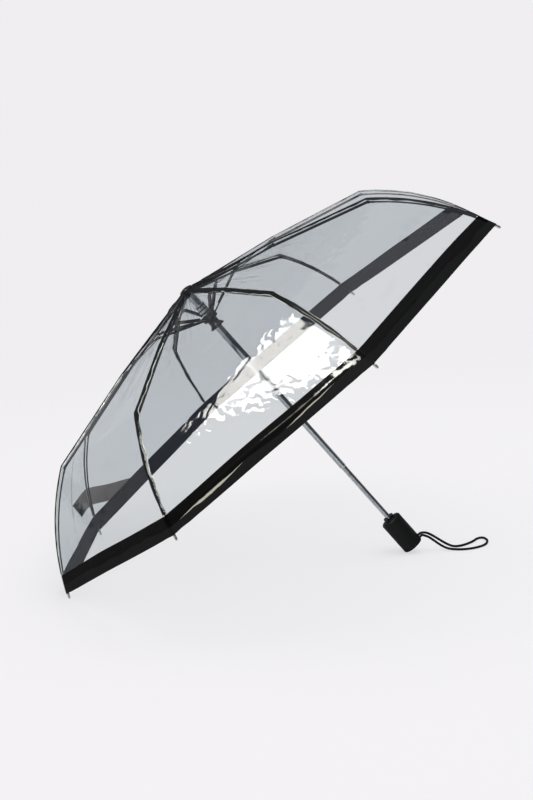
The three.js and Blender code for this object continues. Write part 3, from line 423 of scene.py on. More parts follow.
painted_hem_glare = []
for middle, half_length, width_share in HEM_GLARE_STRETCHES:
    settings = {"From Min": half_length, "From Max": SOFT_ENDS * half_length, "To Max": width_share}
    painted_hem_glare.append(add_node(hem_tree, "MapRange", settings, {"Value": away_from(middle)}).outputs[0])
painted_hem_glare = add_node(hem_tree, "Math", {"operation": "MAXIMUM"}, {0: painted_hem_glare[0], 1: painted_hem_glare[1]}).outputs[0]
hem_glare_run = add_node(hem_tree, "Mapping", {"Scale": HEM_GLARE_RUN}, {"Vector": hem_marks}).outputs[0]
hem_glare_run = add_node(hem_tree, "TexNoise", {"Scale": 1.0, "Detail": 4.0}, {"Vector": hem_glare_run}).outputs[0]
hem_glare_width = between(hem_tree, hem_glare_run, HEM_GLARE_NARROW, HEM_GLARE_WIDE)
hem_glare_width = add_node(hem_tree, "Math", {"operation": "MULTIPLY"}, {0: hem_glare_width, 1: painted_hem_glare}).outputs[0]
hem_glare_off = add_node(hem_tree, "Math", {"operation": "ABSOLUTE"}, {0: hem_off}).outputs[0]
settings = {"To Min": 1.0, "To Max": 0.0}
haze_and_painted_glare = add_node(hem_tree, "MapRange", settings, {"Value": hem_glare_off, "From Max": hem_glare_width}).outputs[0]
haze_and_painted_glare = add_node(hem_tree, "Math", {"operation": "POWER", 1: 0.4}, {0: haze_and_painted_glare}).outputs[0]
print("loose edge on", len(HEM_GLARE_STRETCHES), "stretches")

# %% [markdown]
# The glossy half mirrors only a little, and more at one place near a corner where it lies flat. The
# hem's back is its lining, a dull cloth in a dark blue-grey, which shows through the film.

# %% Hem finish
FLAT_PLACE = 1.88
FLAT_FADES = (0.13, 0.06)
HEM_MIRROR, FLAT_MIRROR = 0.003, 0.02

binding_and_painted_glare = tinted(hem_tree, hem_bare, "010101", "191A1A")
# Here the painted glare streak, pale cream CFCDBC, is mixed into the binding's colour.
settings = {"data_type": "RGBA", 7: linear("CFCDBC")}
binding_and_painted_glare = add_node(hem_tree, "Mix", settings, {0: haze_and_painted_glare, 6: binding_and_painted_glare}).outputs[2]
hem_relief = bump_from(hem_tree, grain(hem_tree, 26 * MM, 3.0, 0.4), 0.8 * MM)
settings = {"Roughness": 0.6, "Specular IOR Level": 0.02}
links = {"Base Color": binding_and_painted_glare, "Normal": hem_relief}
hem_cloth = add_node(hem_tree, "BsdfPrincipled", settings, links).outputs[0]
settings = {"Color": linear("FFFFFF"), "Roughness": 0.06}
hem_shine = add_node(hem_tree, "BsdfGlossy", settings, {"Normal": hem_relief}).outputs[0]
outer, inner = FLAT_FADES
settings = {"From Min": outer, "From Max": inner, "To Min": HEM_MIRROR, "To Max": FLAT_MIRROR}
hem_share = add_node(hem_tree, "MapRange", settings, {"Value": away_from(FLAT_PLACE)}).outputs[0]
links = {"Value": hem_bare, "To Min": hem_share}
hem_share = add_node(hem_tree, "MapRange", {"To Max": 0.0}, links).outputs[0]
finished(hem_tree, add_node(hem_tree, "MixShader", links={0: hem_share, 1: hem_cloth, 2: hem_shine}))

FAINT = {"Specular IOR Level": 0.05}
hem_lining = solid_finish("hem_lining_cloth", "171A22", "1D212B", (0.6, 0.75), 6 * MM, 0.02 * MM, **FAINT)
print("hem finishes:", hem_film.name, hem_lining.name)

# %% [markdown]
# The strap is a thin grey-brown band that lets some light through, and its patch is hook tape: thousands
# of tiny hooks, too fine to show, drawn as a grain of 1.5 mm.

# %% Strap and patch finishes
STRAP_COVER = 0.8

strap_material, strap_tree = new_material("grey_brown_strap")
strap_shade = between(strap_tree, grain(strap_tree, 1.2 * MM, 3.0), 0, 1)
links = {"Base Color": tinted(strap_tree, strap_shade, "544C4C", "665D5D")}
strap_cloth = add_node(strap_tree, "BsdfPrincipled", {"Roughness": 0.6, **DULL}, links).outputs[0]
strap_clear = add_node(strap_tree, "BsdfTransparent", {"Color": linear("B5ADA8")}).outputs[0]
links = {1: strap_clear, 2: strap_cloth}
finished(strap_tree, add_node(strap_tree, "MixShader", {0: STRAP_COVER}, links))
hook_tape = solid_finish("hook_tape", "09090A", "1E1E20", (0.85, 0.95), 1.5 * MM, 0.6 * MM, **DULL)
print("strap finishes:", strap_material.name, hook_tape.name)

# %% [markdown]
# The canopy follows each rib as two straight stretches and a bowed one. This line is worked out once, as
# radius and height from the crown, with the distance along it at every point.

# %% The line over a rib
FIRST_FOLD = Vector((169, -31)) * MM
SECOND_FOLD = Vector((334, -72)) * MM
RIM = Vector((460, -220)) * MM
OUTER_BOW = 13 * MM
CURVE_STEPS = 200

chord = (RIM - SECOND_FOLD).normalized()
bow_middle = (RIM + SECOND_FOLD) / 2 + Vector((-chord.y, chord.x)) * 2 * OUTER_BOW
rib_line = [Vector((0, 0)), FIRST_FOLD, SECOND_FOLD]
for step in range(1, CURVE_STEPS + 1):
    t = step / CURVE_STEPS
    rib_line.append(SECOND_FOLD * (1 - t) ** 2 + bow_middle * 2 * t * (1 - t) + RIM * t**2)
reached = [0.0]
for a, b in zip(rib_line, rib_line[1:]):
    reached.append(reached[-1] + (b - a).length)
FIRST_LENGTH, SECOND_LENGTH, RIM_LENGTH = reached[1], reached[2], reached[-1]
HEM_START = RIM_LENGTH - HEM_WIDTH


def on_rib(distance):
    """Radius and height of the film's line over a rib, at a distance from the crown."""
    last = len(reached) - 2
    i = next((i for i in range(last + 1) if reached[i + 1] >= distance), last)
    share = (distance - reached[i]) / (reached[i + 1] - reached[i])
    return rib_line[i].lerp(rib_line[i + 1], share)


print("rib length", round(RIM_LENGTH, 4), "m")

# %% [markdown]
# Film under tension isn't a smooth surface. It sags a little between the ribs, waves slowly, puckers
# where the seams pull it, and is drawn into spokes near the crown. On the ribs themselves nothing is
# added. The rim's tension pulls the slow waves flat, so they fade out towards it. The slow waves have a
# noise scale per gore and per metre from the crown, the puckers one per metre along and round.

# %% Wrinkles
SLOW_WAVE = 3 * MM
SLOW_WAVES = (3.1, 9)
TAKEN_OUT_AT_RIM = 0.8
PUCKER = 1.1 * MM
PUCKERS = (70, 16)
SPOKE = 1.2 * MM
SPOKES_PER_GORE = 3
SPOKE_REACH = 120 * MM
SAG = 2.5 * MM


def wrinkles(gore, distance):
    """How far the film stands off its stretched shape, along the shaft."""
    share = gore - math.floor(gore)
    free = 4 * share * (1 - share)
    edge = min(1.0, free * 4)
    around = gore * GORE * distance
    slow = noise.noise(Vector((gore * SLOW_WAVES[0], distance * SLOW_WAVES[1], 1.7))) * SLOW_WAVE
    slow *= 1 - TAKEN_OUT_AT_RIM * (distance / RIM_LENGTH) ** 6
    pucker = noise.noise(Vector((distance * PUCKERS[0], around * PUCKERS[1], 5.3)))
    pucker *= PUCKER * (1 - free) ** 2
    turn = gore * 2 * math.pi * SPOKES_PER_GORE + 2 * noise.noise(Vector((gore * 5, 0, 9)))
    spokes = math.sin(turn) * SPOKE * math.exp(-((distance / SPOKE_REACH) ** 2))
    sag = -SAG * free * math.sin(math.pi * min(1.0, distance / RIM_LENGTH))
    return edge * (slow + pucker + spokes) + sag


print("wrinkles stand off by up to", round((SLOW_WAVE + PUCKER + SPOKE) / MM, 1), "mm")

# %% [markdown]
# Between two ribs the film is pulled straight. One function gives a point of it from the gore and the
# distance from the crown, and every soft piece is made with it: the film, the hem, the seams and the
# strap's sewn end. The rim is drawn in a little between the ribs, because the hem pulls it straight.

# %% The canopy's surface
FILM_MIDDLE = 0.25 * MM
HEM_DRAW_IN = 2 * MM


def canopy_point(gore, distance, lift=0.0):
    rib = math.floor(gore)
    share = gore - rib
    drawn = HEM_DRAW_IN * 4 * share * (1 - share) * (distance / RIM_LENGTH) ** 4
    radius, height = on_rib(distance - drawn)
    low, high = rib * GORE, (rib + 1) * GORE
    x = radius * ((1 - share) * math.cos(low) + share * math.cos(high))
    y = radius * ((1 - share) * math.sin(low) + share * math.sin(high))
    return SHAFT @ Vector((x, y, height - FILM_MIDDLE + wrinkles(gore, distance) + lift))


print("first rib ends at", tuple(round(v, 4) for v in canopy_point(0, RIM_LENGTH)))

# %% [markdown]
# A grid of points joined by faces is the plain way to make a sheet. Points that fall on each other are
# made one, so that a grid may narrow to a point. A sheet's flat size is measured on the same rows: its
# greatest width, its greatest length and its area.

# %% Sheets
def spread(low, high, steps):
    return [low + (high - low) * step / steps for step in range(steps + 1)]


def sheet_mesh(name, rows, material, marks=None):
    """A sheet from rows of points, each row as long as the first. The marks are its UV map's rows."""
    places = {}
    grid = [[places.setdefault(tuple(point), len(places)) for point in row] for row in rows]
    faces = []
    for low, high in zip(grid, grid[1:]):
        for column in range(len(low) - 1):
            corners = dict.fromkeys((low[column], high[column], high[column + 1], low[column + 1]))
            if len(corners) > 2:
                faces.append(tuple(corners))
    mesh = bpy.data.meshes.new(name)
    mesh.from_pydata(list(places), [], faces)
    mesh.shade_smooth()
    mesh.materials.append(material)
    if marks:
        flat_marks = {i: mark for row, mark_row in zip(grid, marks) for i, mark in zip(row, mark_row)}
        uv_map = mesh.uv_layers.new(name="gore_and_reach")
        for loop, uv in zip(mesh.loops, uv_map.data):
            uv.uv = flat_marks[loop.vertex_index]
    piece = bpy.data.objects.new(name, mesh)
    bpy.context.collection.objects.link(piece)
    return piece


def sheet_size(rows):
    """Greatest width and length, and the area, of a sheet made from rows of points."""
    width = max(sum((b - a).length for a, b in zip(row, row[1:])) for row in rows)
    length = max(sum((b - a).length for a, b in zip(line, line[1:])) for line in zip(*rows))
    area = 0
    for low, high in zip(rows, rows[1:]):
        for a, b, c, d in zip(low, high, high[1:], low[1:]):
            area += (c - a).cross(d - b).length / 2
    return width, length, area


print("a sheet's rows from 0 to 1:", spread(0, 1, 4))

# %% [markdown]
# Each rib carries the half gores on both its sides, in three bands, because each rib has three lengths
# that turn on two hinges. At the first hinge the bands meet in a plane square to the rib, so that no
# film stands past the fold when the rib doubles back. At the second, where the canopy turns down, they
# meet part of the way there.

# %% Folding with the ribs
TOWARD_SQUARE = {FIRST_LENGTH: 1, SECOND_LENGTH: 0.3}


def fold_line(fold, gore):
    """Distance from the crown at which a gore's film changes from one length of the rib to the next."""
    aside = abs(gore - round(gore))
    radius = on_rib(fold).x / (1 - (1 - math.cos(GORE)) * aside)
    i = next(i for i in range(len(rib_line) - 1) if rib_line[i + 1].x >= radius)
    share = (radius - rib_line[i].x) / (rib_line[i + 1].x - rib_line[i].x)
    square_to_rib = reached[i] + share * (reached[i + 1] - reached[i])
    return fold + TOWARD_SQUARE[fold] * (square_to_rib - fold)


def fold_with(piece, rib, part):
    """The piece rides on one length of a rib."""
    number = rib % RIBS + 1
    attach(piece, f"{part}_{number}")
    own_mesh(piece)


print("first fold, on the rib and between two:", [round(fold_line(FIRST_LENGTH, at), 4) for at in (0, 0.5)])

# %% [markdown]
# The film's bands share their border points exactly, so the open canopy is one unbroken surface. A band
# starts on its own fold line, runs to the next hinge's distance, and a few more rows take it on to that
# hinge's fold line.

# %% Film
HOLE_RADIUS = 4.5 * MM
BANDS = [
    ("top_rib", HOLE_RADIUS, FIRST_LENGTH, 14),
    ("middle_rib", FIRST_LENGTH, SECOND_LENGTH, 16),
    ("outer_rib", SECOND_LENGTH, HEM_START, 18),
]
HALF_GORE_STEPS = 12
PAST_CREASE_STEPS = 5

film_area = 0
for rib in range(RIBS):
    gores = spread(rib - 0.5, rib + 0.5, 2 * HALF_GORE_STEPS)
    for part, start, end, steps in BANDS:
        lines = []
        for gore in gores:
            line = spread(fold_line(start, gore) if start > HOLE_RADIUS else start, end, steps)
            if end < HEM_START:
                line += spread(end, fold_line(end, gore), PAST_CREASE_STEPS)[1:]
            lines.append(line)
        rows = [[canopy_point(*place) for place in zip(gores, across)] for across in zip(*lines)]
        marks = [[(gore + 1, distance) for gore, distance in zip(gores, across)] for across in zip(*lines)]
        film = sheet_mesh(f"film_{part}_{rib + 1}", rows, clear_film, marks)
        fold_with(film, rib, part)
        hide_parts("canopy_film")
        film_area += sheet_size(rows)[2]
print("film area", round(film_area, 3), "m2")

# %% [markdown]
# The hem is a sheet of its own on the film's edge. Along its middle the film and the binding make a soft
# ridge, its outer half turns inwards a little, and close to the tips, where it is gathered and tied, it
# is crumpled.

# %% Shape of the hem
RIDGE_HEIGHT = 1.3 * MM
RIDGE_HALF_WIDTH = 2.4 * MM
RIDGE_PLACE, RIDGE_WANDERS = 0.42, 0.16
TURN_IN = 2 * MM
CRUMPLE = 1.6 * MM
COARSE_CRUMPLES, FINE_CRUMPLES = (22, 130), (60, 60)
HELD_EDGE = 5 * MM


def hem_lift(gore, distance):
    """How far the hem stands off the canopy's surface, along the shaft."""
    share = gore - math.floor(gore)
    free = 4 * share * (1 - share)
    across = distance - HEM_START
    ridge_place = RIDGE_PLACE + RIDGE_WANDERS * noise.noise(Vector((gore * 2.3, 4.1, 0)))
    off_ridge = (across - HEM_WIDTH * ridge_place) / RIDGE_HALF_WIDTH
    ridge = RIDGE_HEIGHT * free * math.exp(-(off_ridge**2))
    turned_in = -TURN_IN * free * max(0.0, across / HEM_WIDTH - 0.5) ** 2 * 4
    coarse = noise.noise(Vector((gore * COARSE_CRUMPLES[0], distance * COARSE_CRUMPLES[1], 3.3)))
    fine = noise.noise(Vector((gore * FINE_CRUMPLES[0], distance * FINE_CRUMPLES[1], 8.1)))
    gathered = CRUMPLE * (1 - free) ** 3 * min(1.0, 8 * free) * (coarse + 0.5 * fine)
    return (ridge + turned_in + gathered) * min(1.0, across / HELD_EDGE)


print("the hem's ridge stands", round(RIDGE_HEIGHT / MM, 1), "mm high")

# %% [markdown]
# One strip of hem is made for each rib, reaching half a gore to both sides. Solidify gives it the
# thickness of its two layers and puts the lining on its back. Operators act on all that is selected, so
# a small function selects one piece and makes it active.

# %% Hem
HEM_THICKNESS = 0.8 * MM
HEM_ROWS = 16
SHARP_ANGLE = math.radians(50)


def only(piece):
    bpy.ops.object.select_all(action="DESELECT")
    bpy.context.view_layer.objects.active = piece
    piece.select_set(True)


for rib in range(RIBS):
    gores = spread(rib - 0.5, rib + 0.5, 4 * HALF_GORE_STEPS)
    distances = spread(HEM_START, RIM_LENGTH, HEM_ROWS)
    rows = [[canopy_point(gore, reach, hem_lift(gore, reach)) for gore in gores] for reach in distances]
    marks = [[(gore + 1, reach) for gore in gores] for reach in distances]
    hem = sheet_mesh(f"hem_{rib + 1}", rows, hem_film, marks)
    only(hem)
    hem.data.materials.append(hem_lining)
    two_layers = hem.modifiers.new("two_layers", "SOLIDIFY")
    two_layers.thickness, two_layers.offset, two_layers.material_offset = HEM_THICKNESS, 0, 1
    bpy.ops.object.modifier_apply(modifier="two_layers")
    bpy.ops.object.shade_smooth_by_angle(angle=SHARP_ANGLE)
    fold_with(hem, rib, "outer_rib")
    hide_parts("canopy_hem")
print("hem strips", RIBS, "each", round(sheet_size(rows)[0], 3), "m long")

# %% [markdown]
# Along each rib the gores are welded with a narrow lap of doubled film. It looks nearly black: partly
# the rib right under it, and partly painted shade in its tint for the light that the doubled film bends
# away. The lap is one strip, wider on the side where more film is gathered. A strip's cross-section is
# a list of places: a share of the lap's half width, and from there mm beyond it and mm over the film.
# Its two halves have their own width in mm for each rib, and the whole strip wanders a little to both
# sides.

# %% Seam strips
LAP_SHAPE = ((-1, 0, 0.3), (-0.6, 0, 1.2), (0, 0, 1.9), (0.6, 0, 1.2), (1, 0, 0.3))
LAP_HALVES = ((4, 4), (3.2, 7), (5.5, 3.2), (7.5, 3.2), (3.2, 3.2), (3.2, 3.2), (3.2, 3.2), (3.2, 3.2))
SEAM_WANDERS, WANDERS_PER_METRE = 1.1, 45
FULL_WIDTH, LESS_AT_RIM = 1.1, 0.4
WIDTH_VARIES, VARIES_PER_METRE = 0.4, 60
MORE_AT_CROWN = 0.9
GATHERED_AT_CROWN = 40 * MM


def seam_strip(name, rib, distances, shape, material):
    rows, marks = [], []
    left_half, right_half = LAP_HALVES[rib]
    for distance in distances:
        wander = SEAM_WANDERS * noise.noise(Vector((distance * WANDERS_PER_METRE, rib * 7.7, 2.2)))
        width = FULL_WIDTH - LESS_AT_RIM * distance / RIM_LENGTH
        width += WIDTH_VARIES * noise.noise(Vector((distance * VARIES_PER_METRE, rib * 3.1, 6.4)))
        width += MORE_AT_CROWN * math.exp(-((distance / GATHERED_AT_CROWN) ** 2))
        per_mm = MM / (GORE * on_rib(distance).x)
        gores = []
        for share, beyond, _ in shape:
            half = left_half if share < 0 else right_half
            gores.append(rib + per_mm * (wander + beyond + share * width * half))
        rows.append([canopy_point(gore, distance, lift * MM) for gore, (_, _, lift) in zip(gores, shape)])
        marks.append([(gore + 1, distance) for gore in gores])
    return sheet_mesh(name, rows, material, marks)


print("laps are", [round(sum(halves), 1) for halves in LAP_HALVES], "mm wide before gathering")

# %% [markdown]
# The lap's two rolled edges stand up a little and show as thin bright lines, partly milky film and
# partly a painted highlight, broken by a noise. Beside three of the ribs only one of them stands up.
# They are a second piece on top of the lap.

# %% Seams
SEAM_START = 14 * MM
EDGE_SHAPE = ((1, -0.1, 0.4), (1, 0.15, 0.9), (1, 0.5, 1.15), (1, 0.9, 0.9), (1, 1.1, 0.2))
LEFT_EDGE_SHAPE = [(-share, -beyond, lift) for share, beyond, lift in EDGE_SHAPE]
ONE_EDGE_FLAT = (0, 1, 3)

for rib in range(RIBS):
    for part, start, end, steps in BANDS:
        distances = spread(max(start, SEAM_START), end, 2 * steps)
        pieces = [seam_strip(f"seam_{part}_{rib + 1}", rib, distances, LAP_SHAPE, seam_film_painted_shade)]
        if part != "top_rib":
            edges = seam_strip(f"seam_edges_{part}_{rib + 1}", rib, distances, EDGE_SHAPE, rolled_edge_milk_and_highlight)
            pieces.append(edges)
        if part != "top_rib" and rib not in ONE_EDGE_FLAT:
            left = seam_strip("left", rib, distances, LEFT_EDGE_SHAPE, rolled_edge_milk_and_highlight)
            only(edges)
            left.select_set(True)
            bpy.ops.object.join()
        for piece in pieces:
            fold_with(piece, rib, part)
print("seams on", RIBS, "ribs, with one edge flat on", len(ONE_EDGE_FLAT))

# %% [markdown]
# The closing strap is sewn to the outside of the hem beside the eighth rib. It stands out stiffly from
# its seam, and its free end with the grip patch turns down. Two edge lines, upper and lower, describe
# it, in shares of its width from the middle of its seam.

# %% Edges of the closing strap
STRAP_WIDTH = 28 * MM
STRAP_GORE = RIBS - 2 + 0.7
STRAP_FROM_RIM = 15 * MM
STRAP_SLANT = 0.014
STRAP_OVER_HEM = 1.2 * MM
STRAP_UPPER = ((-1.49, 0.18), (-2.73, -0.02), (-3.11, -0.27), (-3.46, -0.69), (-3.86, -1.17))
STRAP_LOWER = ((-1.71, -0.97), (-2.49, -1.12), (-2.76, -1.29), (-2.97, -1.51), (-3.3, -1.96))
STRAP_STEPS = 8


def sewn(side):
    """A point of the strap's seam: 0 is its middle, 1 and -1 are its ends."""
    reach = RIM_LENGTH - STRAP_FROM_RIM - side * STRAP_WIDTH / 2
    return canopy_point(STRAP_GORE - side * STRAP_SLANT, reach, STRAP_OVER_HEM)


def smooth_line(points, steps):
    """Points on the curve that runs through the given ones."""
    line = []
    ends = [2 * points[0] - points[1], *points, 2 * points[-1] - points[-2]]
    for p0, p1, p2, p3 in zip(ends, ends[1:], ends[2:], ends[3:]):
        for step in range(steps):
            t = step / steps
            bend = (2 * p1, p2 - p0, 2 * p0 - 5 * p1 + 4 * p2 - p3, 3 * p1 - 3 * p2 + p3 - p0)
            line.append(sum((part * t**power for power, part in enumerate(bend)), Vector()) / 2)
    return [*line, points[-1]]


def free_edge(first, shares):
    points = [first, *(sewn(0) + Vector((x, 0, z)) * STRAP_WIDTH for x, z in shares)]
    return smooth_line(points, STRAP_STEPS)


upper_edge = free_edge(sewn(1), STRAP_UPPER)
lower_edge = free_edge(sewn(-1), STRAP_LOWER)
print("strap's edges have", len(upper_edge), "points each")

# %% [markdown]
# Between its edges the band curls a little, as a strap does that spends its life rolled up, and its free
# end ripples. It hangs from the hem.

# %% Closing strap
STRAP_COLUMNS = 6
STRAP_CURL = 3 * MM
STRAP_RIPPLE = 1.5 * MM
RIPPLE_TURNS = 9

strap_rows = []
for i, (top, bottom) in enumerate(zip(upper_edge, lower_edge)):
    along = i / (len(upper_edge) - 1)
    curl = STRAP_CURL * math.sin(math.pi * along)
    ripple = STRAP_RIPPLE * math.sin(RIPPLE_TURNS * along)
    row = []
    for across in spread(0, 1, STRAP_COLUMNS):
        out = -curl * 4 * across * (1 - across) + ripple * along
        row.append(top.lerp(bottom, across) + Vector((0, out, 0)))
    strap_rows.append(row)
strap = sheet_mesh("strap_band", strap_rows, strap_material)
fold_with(strap, RIBS - 1, "outer_rib")
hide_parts("closing_strap")
print("strap", round(sheet_size(strap_rows)[1], 3), "m long")

# %% [markdown]
# The patch of hook tape is sewn on near the strap's end. It follows the strap's own rows, a little in
# from its edges, so it bends with the strap and doesn't poke through it.

# %% Grip patch
PATCH_OFF_STRAP = 1.5 * MM
PATCH_THICKNESS = 1 * MM

patch_rows = []
for row in strap_rows[-STRAP_STEPS:-1]:
    inset = [row[0].lerp(row[1], 0.5), *row[2:5], row[5].lerp(row[6], 0.5)]
    patch_rows.append([point + Vector((0, -PATCH_OFF_STRAP, 0)) for point in inset])
patch = sheet_mesh("strap_hook_patch", patch_rows, hook_tape)
only(patch)
patch.modifiers.new("tape", "SOLIDIFY").thickness = PATCH_THICKNESS
bpy.ops.object.modifier_apply(modifier="tape")
fold_with(patch, RIBS - 1, "outer_rib")
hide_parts("strap_patch")
print("patch", [round(size / MM, 1) for size in sheet_size(patch_rows)[:2]], "mm")

# %% [markdown]
# The turned parts come from a lathe in the real world, or from a round mould. Here a circle is added
# at the profile's first point, its edge is extruded and scaled from point to point as by hand, and the
# open ends are filled. The profile is closed on itself where the part has a bore.

# %% Turned parts
def turned(name, profile, sides=64, bored=False):
    """A round piece on the upright shaft, from radius and height in mm, from one end to the other."""
    bpy.ops.object.select_all(action="DESELECT")
    radius, height = profile[0]
    bpy.ops.mesh.primitive_circle_add(vertices=sides, radius=radius * MM, location=(0, 0, height * MM))
    piece = bpy.context.object
    piece.name = name
    bpy.ops.object.transform_apply(location=True, rotation=True, scale=True)
    bpy.ops.object.mode_set(mode="EDIT")
    bpy.ops.mesh.select_all(action="SELECT")
    if not bored:
        bpy.ops.mesh.extrude_region_move()
        bpy.ops.transform.resize(value=(0, 0, 0), center_override=(0, 0, height * MM))
        bpy.ops.mesh.select_all(action="DESELECT")
        bpy.ops.object.mode_set(mode="OBJECT")
        for vertex in list(piece.data.vertices)[:sides]:
            vertex.select = True
        bpy.ops.object.mode_set(mode="EDIT")
    for new_radius, new_height in profile[1:]:
        bpy.ops.mesh.extrude_region_move(TRANSFORM_OT_translate={"value": (0, 0, (new_height - height) * MM)})
        ratio = new_radius / radius
        bpy.ops.transform.resize(value=(ratio, ratio, 1), center_override=(0, 0, new_height * MM))
        radius, height = new_radius, new_height
    if not bored:
        bpy.ops.mesh.extrude_region_move()
        bpy.ops.transform.resize(value=(0, 0, 0), center_override=(0, 0, height * MM))
    bpy.ops.mesh.select_all(action="SELECT")
    bpy.ops.mesh.remove_doubles(threshold=0.001 * MM)
    bpy.ops.mesh.normals_make_consistent(inside=False)
    bpy.ops.object.mode_set(mode="OBJECT")
    return piece


print("turned parts have", turned.__defaults__[0], "sides unless told otherwise")

# %% [markdown]
# Slots and notches are cut out of a turned piece with boxes, set round the shaft and joined to one
# cutter, and a bevel then rounds the edges, which catch the light on every moulded part.

# %% Cutting and rounding
def bevelled(piece, width, angle=math.radians(35), segments=2):
    only(piece)
    bevel = piece.modifiers.new("edges", "BEVEL")
    bevel.width, bevel.segments, bevel.angle_limit = width * MM, segments, angle
    bevel.harden_normals = False
    bpy.ops.object.modifier_apply(modifier="edges")


def cut_with(piece, cutter):
    only(piece)
    cut = piece.modifiers.new("cut", "BOOLEAN")
    cut.operation, cut.object, cut.solver = "DIFFERENCE", cutter, "EXACT"
    bpy.ops.object.modifier_apply(modifier="cut")
    bpy.data.objects.remove(cutter)


def cutter_ring(size, centre, angles):
    """Boxes set round the shaft: size and centre in mm, centre as radius and height."""
    boxes = []
    for angle in angles:
        bpy.ops.object.select_all(action="DESELECT")
        turn = Matrix.Rotation(angle, 4, "Z")
        bpy.ops.mesh.primitive_cube_add(size=1)
        box = bpy.context.object
        box.matrix_world = turn @ Matrix.Translation(Vector((centre[0], 0, centre[1])) * MM)
        box.scale = [side * MM for side in size]
        bpy.ops.object.transform_apply(location=True, rotation=True, scale=True)
        boxes.append(box)
    for box in boxes:
        box.select_set(True)
    bpy.context.view_layer.objects.active = boxes[0]
    if len(boxes) > 1:
        bpy.ops.object.join()
    return boxes[0]


rib_angles = [rib * GORE for rib in range(RIBS)]
print("ribs stand at", [round(math.degrees(angle)) for angle in rib_angles], "degrees")

# %% [markdown]
# A finished piece is shaded smooth up to an angle, taken from its upright place to the umbrella's, and
# handed to the body that carries it. Its place goes into its mesh, so the object stays at the origin, as
# the CAD nodes do.

# %% Setting a piece in its place
def set_down(piece, material, body, nodes, turn=None, smooth=30):
    """Takes an upright piece to its place on the lying umbrella and hands it to its body."""
    only(piece)
    bpy.ops.object.shade_smooth_by_angle(angle=math.radians(smooth))
    piece.matrix_world = SHAFT @ (turn or Matrix())
    bpy.ops.object.transform_apply(location=True, rotation=True, scale=True)
    piece.data.materials.append(material)
    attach(piece, body)
    if nodes:
        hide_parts(*nodes)
    print(piece.name, "rides on", body, "with", len(piece.data.polygons), "faces")


# %% [markdown]
# The crown's button is a low moulded dome with a step round its foot, which presses the film on the
# hub. It gets a finer dome than the CAD solid has, at the same size.

# %% Crown button
dome = [
    (11.5, -1.8), (11.5, 0.6), (11.1, 1.3), (10.2, 1.9), (8.6, 2.6), (6.8, 3.2), (4.6, 3.7), (2.4, 4.05),
    (0.8, 4.18),
]  # fmt: skip
button = turned("crown_button", [(3, -9.7), (3, -1.2), *dome])
set_down(button, moulded_abs, "frame", ["crown_cap"], smooth=40)

# %% [markdown]
# The shaft is three chromed tubes. Each is drawn steel with a rolled lip at its lower end, which keeps
# the next tube from falling out.

# %% Top and middle tube
top_profile = [(5.8, -12.3), (6.4, -12.3), (6.4, -208.4), (6.1, -209.5), (5.8, -210), (5.8, -12.3)]
top_tube = turned("top_shaft_tube", top_profile, bored=True)
set_down(top_tube, chrome_plate, "frame", ["top_tube"])
middle_profile = [(4.7, -195), (5.3, -195), (5.3, -380.4), (5.05, -381.5), (4.7, -382), (4.7, -195)]
middle_tube = turned("middle_shaft_tube", middle_profile, bored=True)
set_down(middle_tube, chrome_plate, "middle_tube", ["middle_tube"])

# %% [markdown]
# The narrowest tube has eight grooves along it, one to each eighth of its circle, which stiffen it and
# keep the handle from turning: on the real one they show as dark lines in the chrome. Its outer points
# are moved inwards where a groove is, all the way on the groove's floor and less on its slopes.

# %% Bottom tube
BOTTOM_RADIUS = 4.4
GROOVE_HALF_WIDTH, GROOVE_HALF_FLOOR = 0.62, 0.4
GROOVE_DEPTH = 0.25 * MM
SLOPE_SHARE = 0.35

bottom_profile = [(3.8, -367), (4.4, -367), (4.4, -542.7), (3.8, -542.7), (3.8, -367)]
bottom_tube = turned("fluted_shaft_tube", bottom_profile, 96, bored=True)
for vertex in bottom_tube.data.vertices:
    angle = math.atan2(vertex.co.y, vertex.co.x)
    off = abs((angle / GORE + 0.5) % 1 - 0.5) * GORE * BOTTOM_RADIUS
    outside = math.hypot(vertex.co.x, vertex.co.y) > (BOTTOM_RADIUS - 0.3) * MM
    if outside and off < GROOVE_HALF_WIDTH:
        depth = GROOVE_DEPTH * (1 if off < GROOVE_HALF_FLOOR else SLOPE_SHARE)
        vertex.co -= Vector((vertex.co.x, vertex.co.y, 0)).normalized() * depth
set_down(bottom_tube, chrome_plate, "handle", ["bottom_tube"], TOWARD_FLOOR, smooth=12)

# %% [markdown]
# The stop collar over the runner is a bright sleeve with three dark rings in its grooves. The rings are
# pieces of their own, a hair proud of the groove's floor.

# %% Stop collar and its rings
COLLAR_END = -50
GROOVE_PITCH = 19 / 3
COLLAR_GROOVES = 3
groove_middles = [COLLAR_END + (groove + 0.5) * GROOVE_PITCH for groove in range(COLLAR_GROOVES)]
collar_profile = [(6.7, COLLAR_END), (8.3, COLLAR_END), (8.5, -49.7)]
for middle in groove_middles:
    collar_profile += [(8.5, middle - 1.2), (7.7, middle - 1.2), (7.7, middle + 1.2), (8.5, middle + 1.2)]
collar_profile += [(8.5, -31.3), (8.3, -31), (6.7, -31), (6.7, COLLAR_END)]
stop_collar = turned("stop_collar", collar_profile, 48, bored=True)
set_down(stop_collar, satin_band, "frame", ["top_stop"])
for number, middle in enumerate(groove_middles, 1):
    low, high = middle - 1, middle + 1
    ring_profile = [(7.72, low), (8.1, low), (8.35, middle), (8.1, high), (7.72, high), (7.72, low)]
    stop_ring = turned(f"stop_ring_{number}", ring_profile, 48, bored=True)
    set_down(stop_ring, moulded_abs, "frame", [])

# %% [markdown]
# The runner is moulded in one piece: a slotted head that holds the feet of the eight struts, a narrow
# waist, and a flange with eight notches, which the hand pushes. It is turned first, then the slots and
# the notches are cut with boxes, and last the edges are rounded, as a mould's edges are.

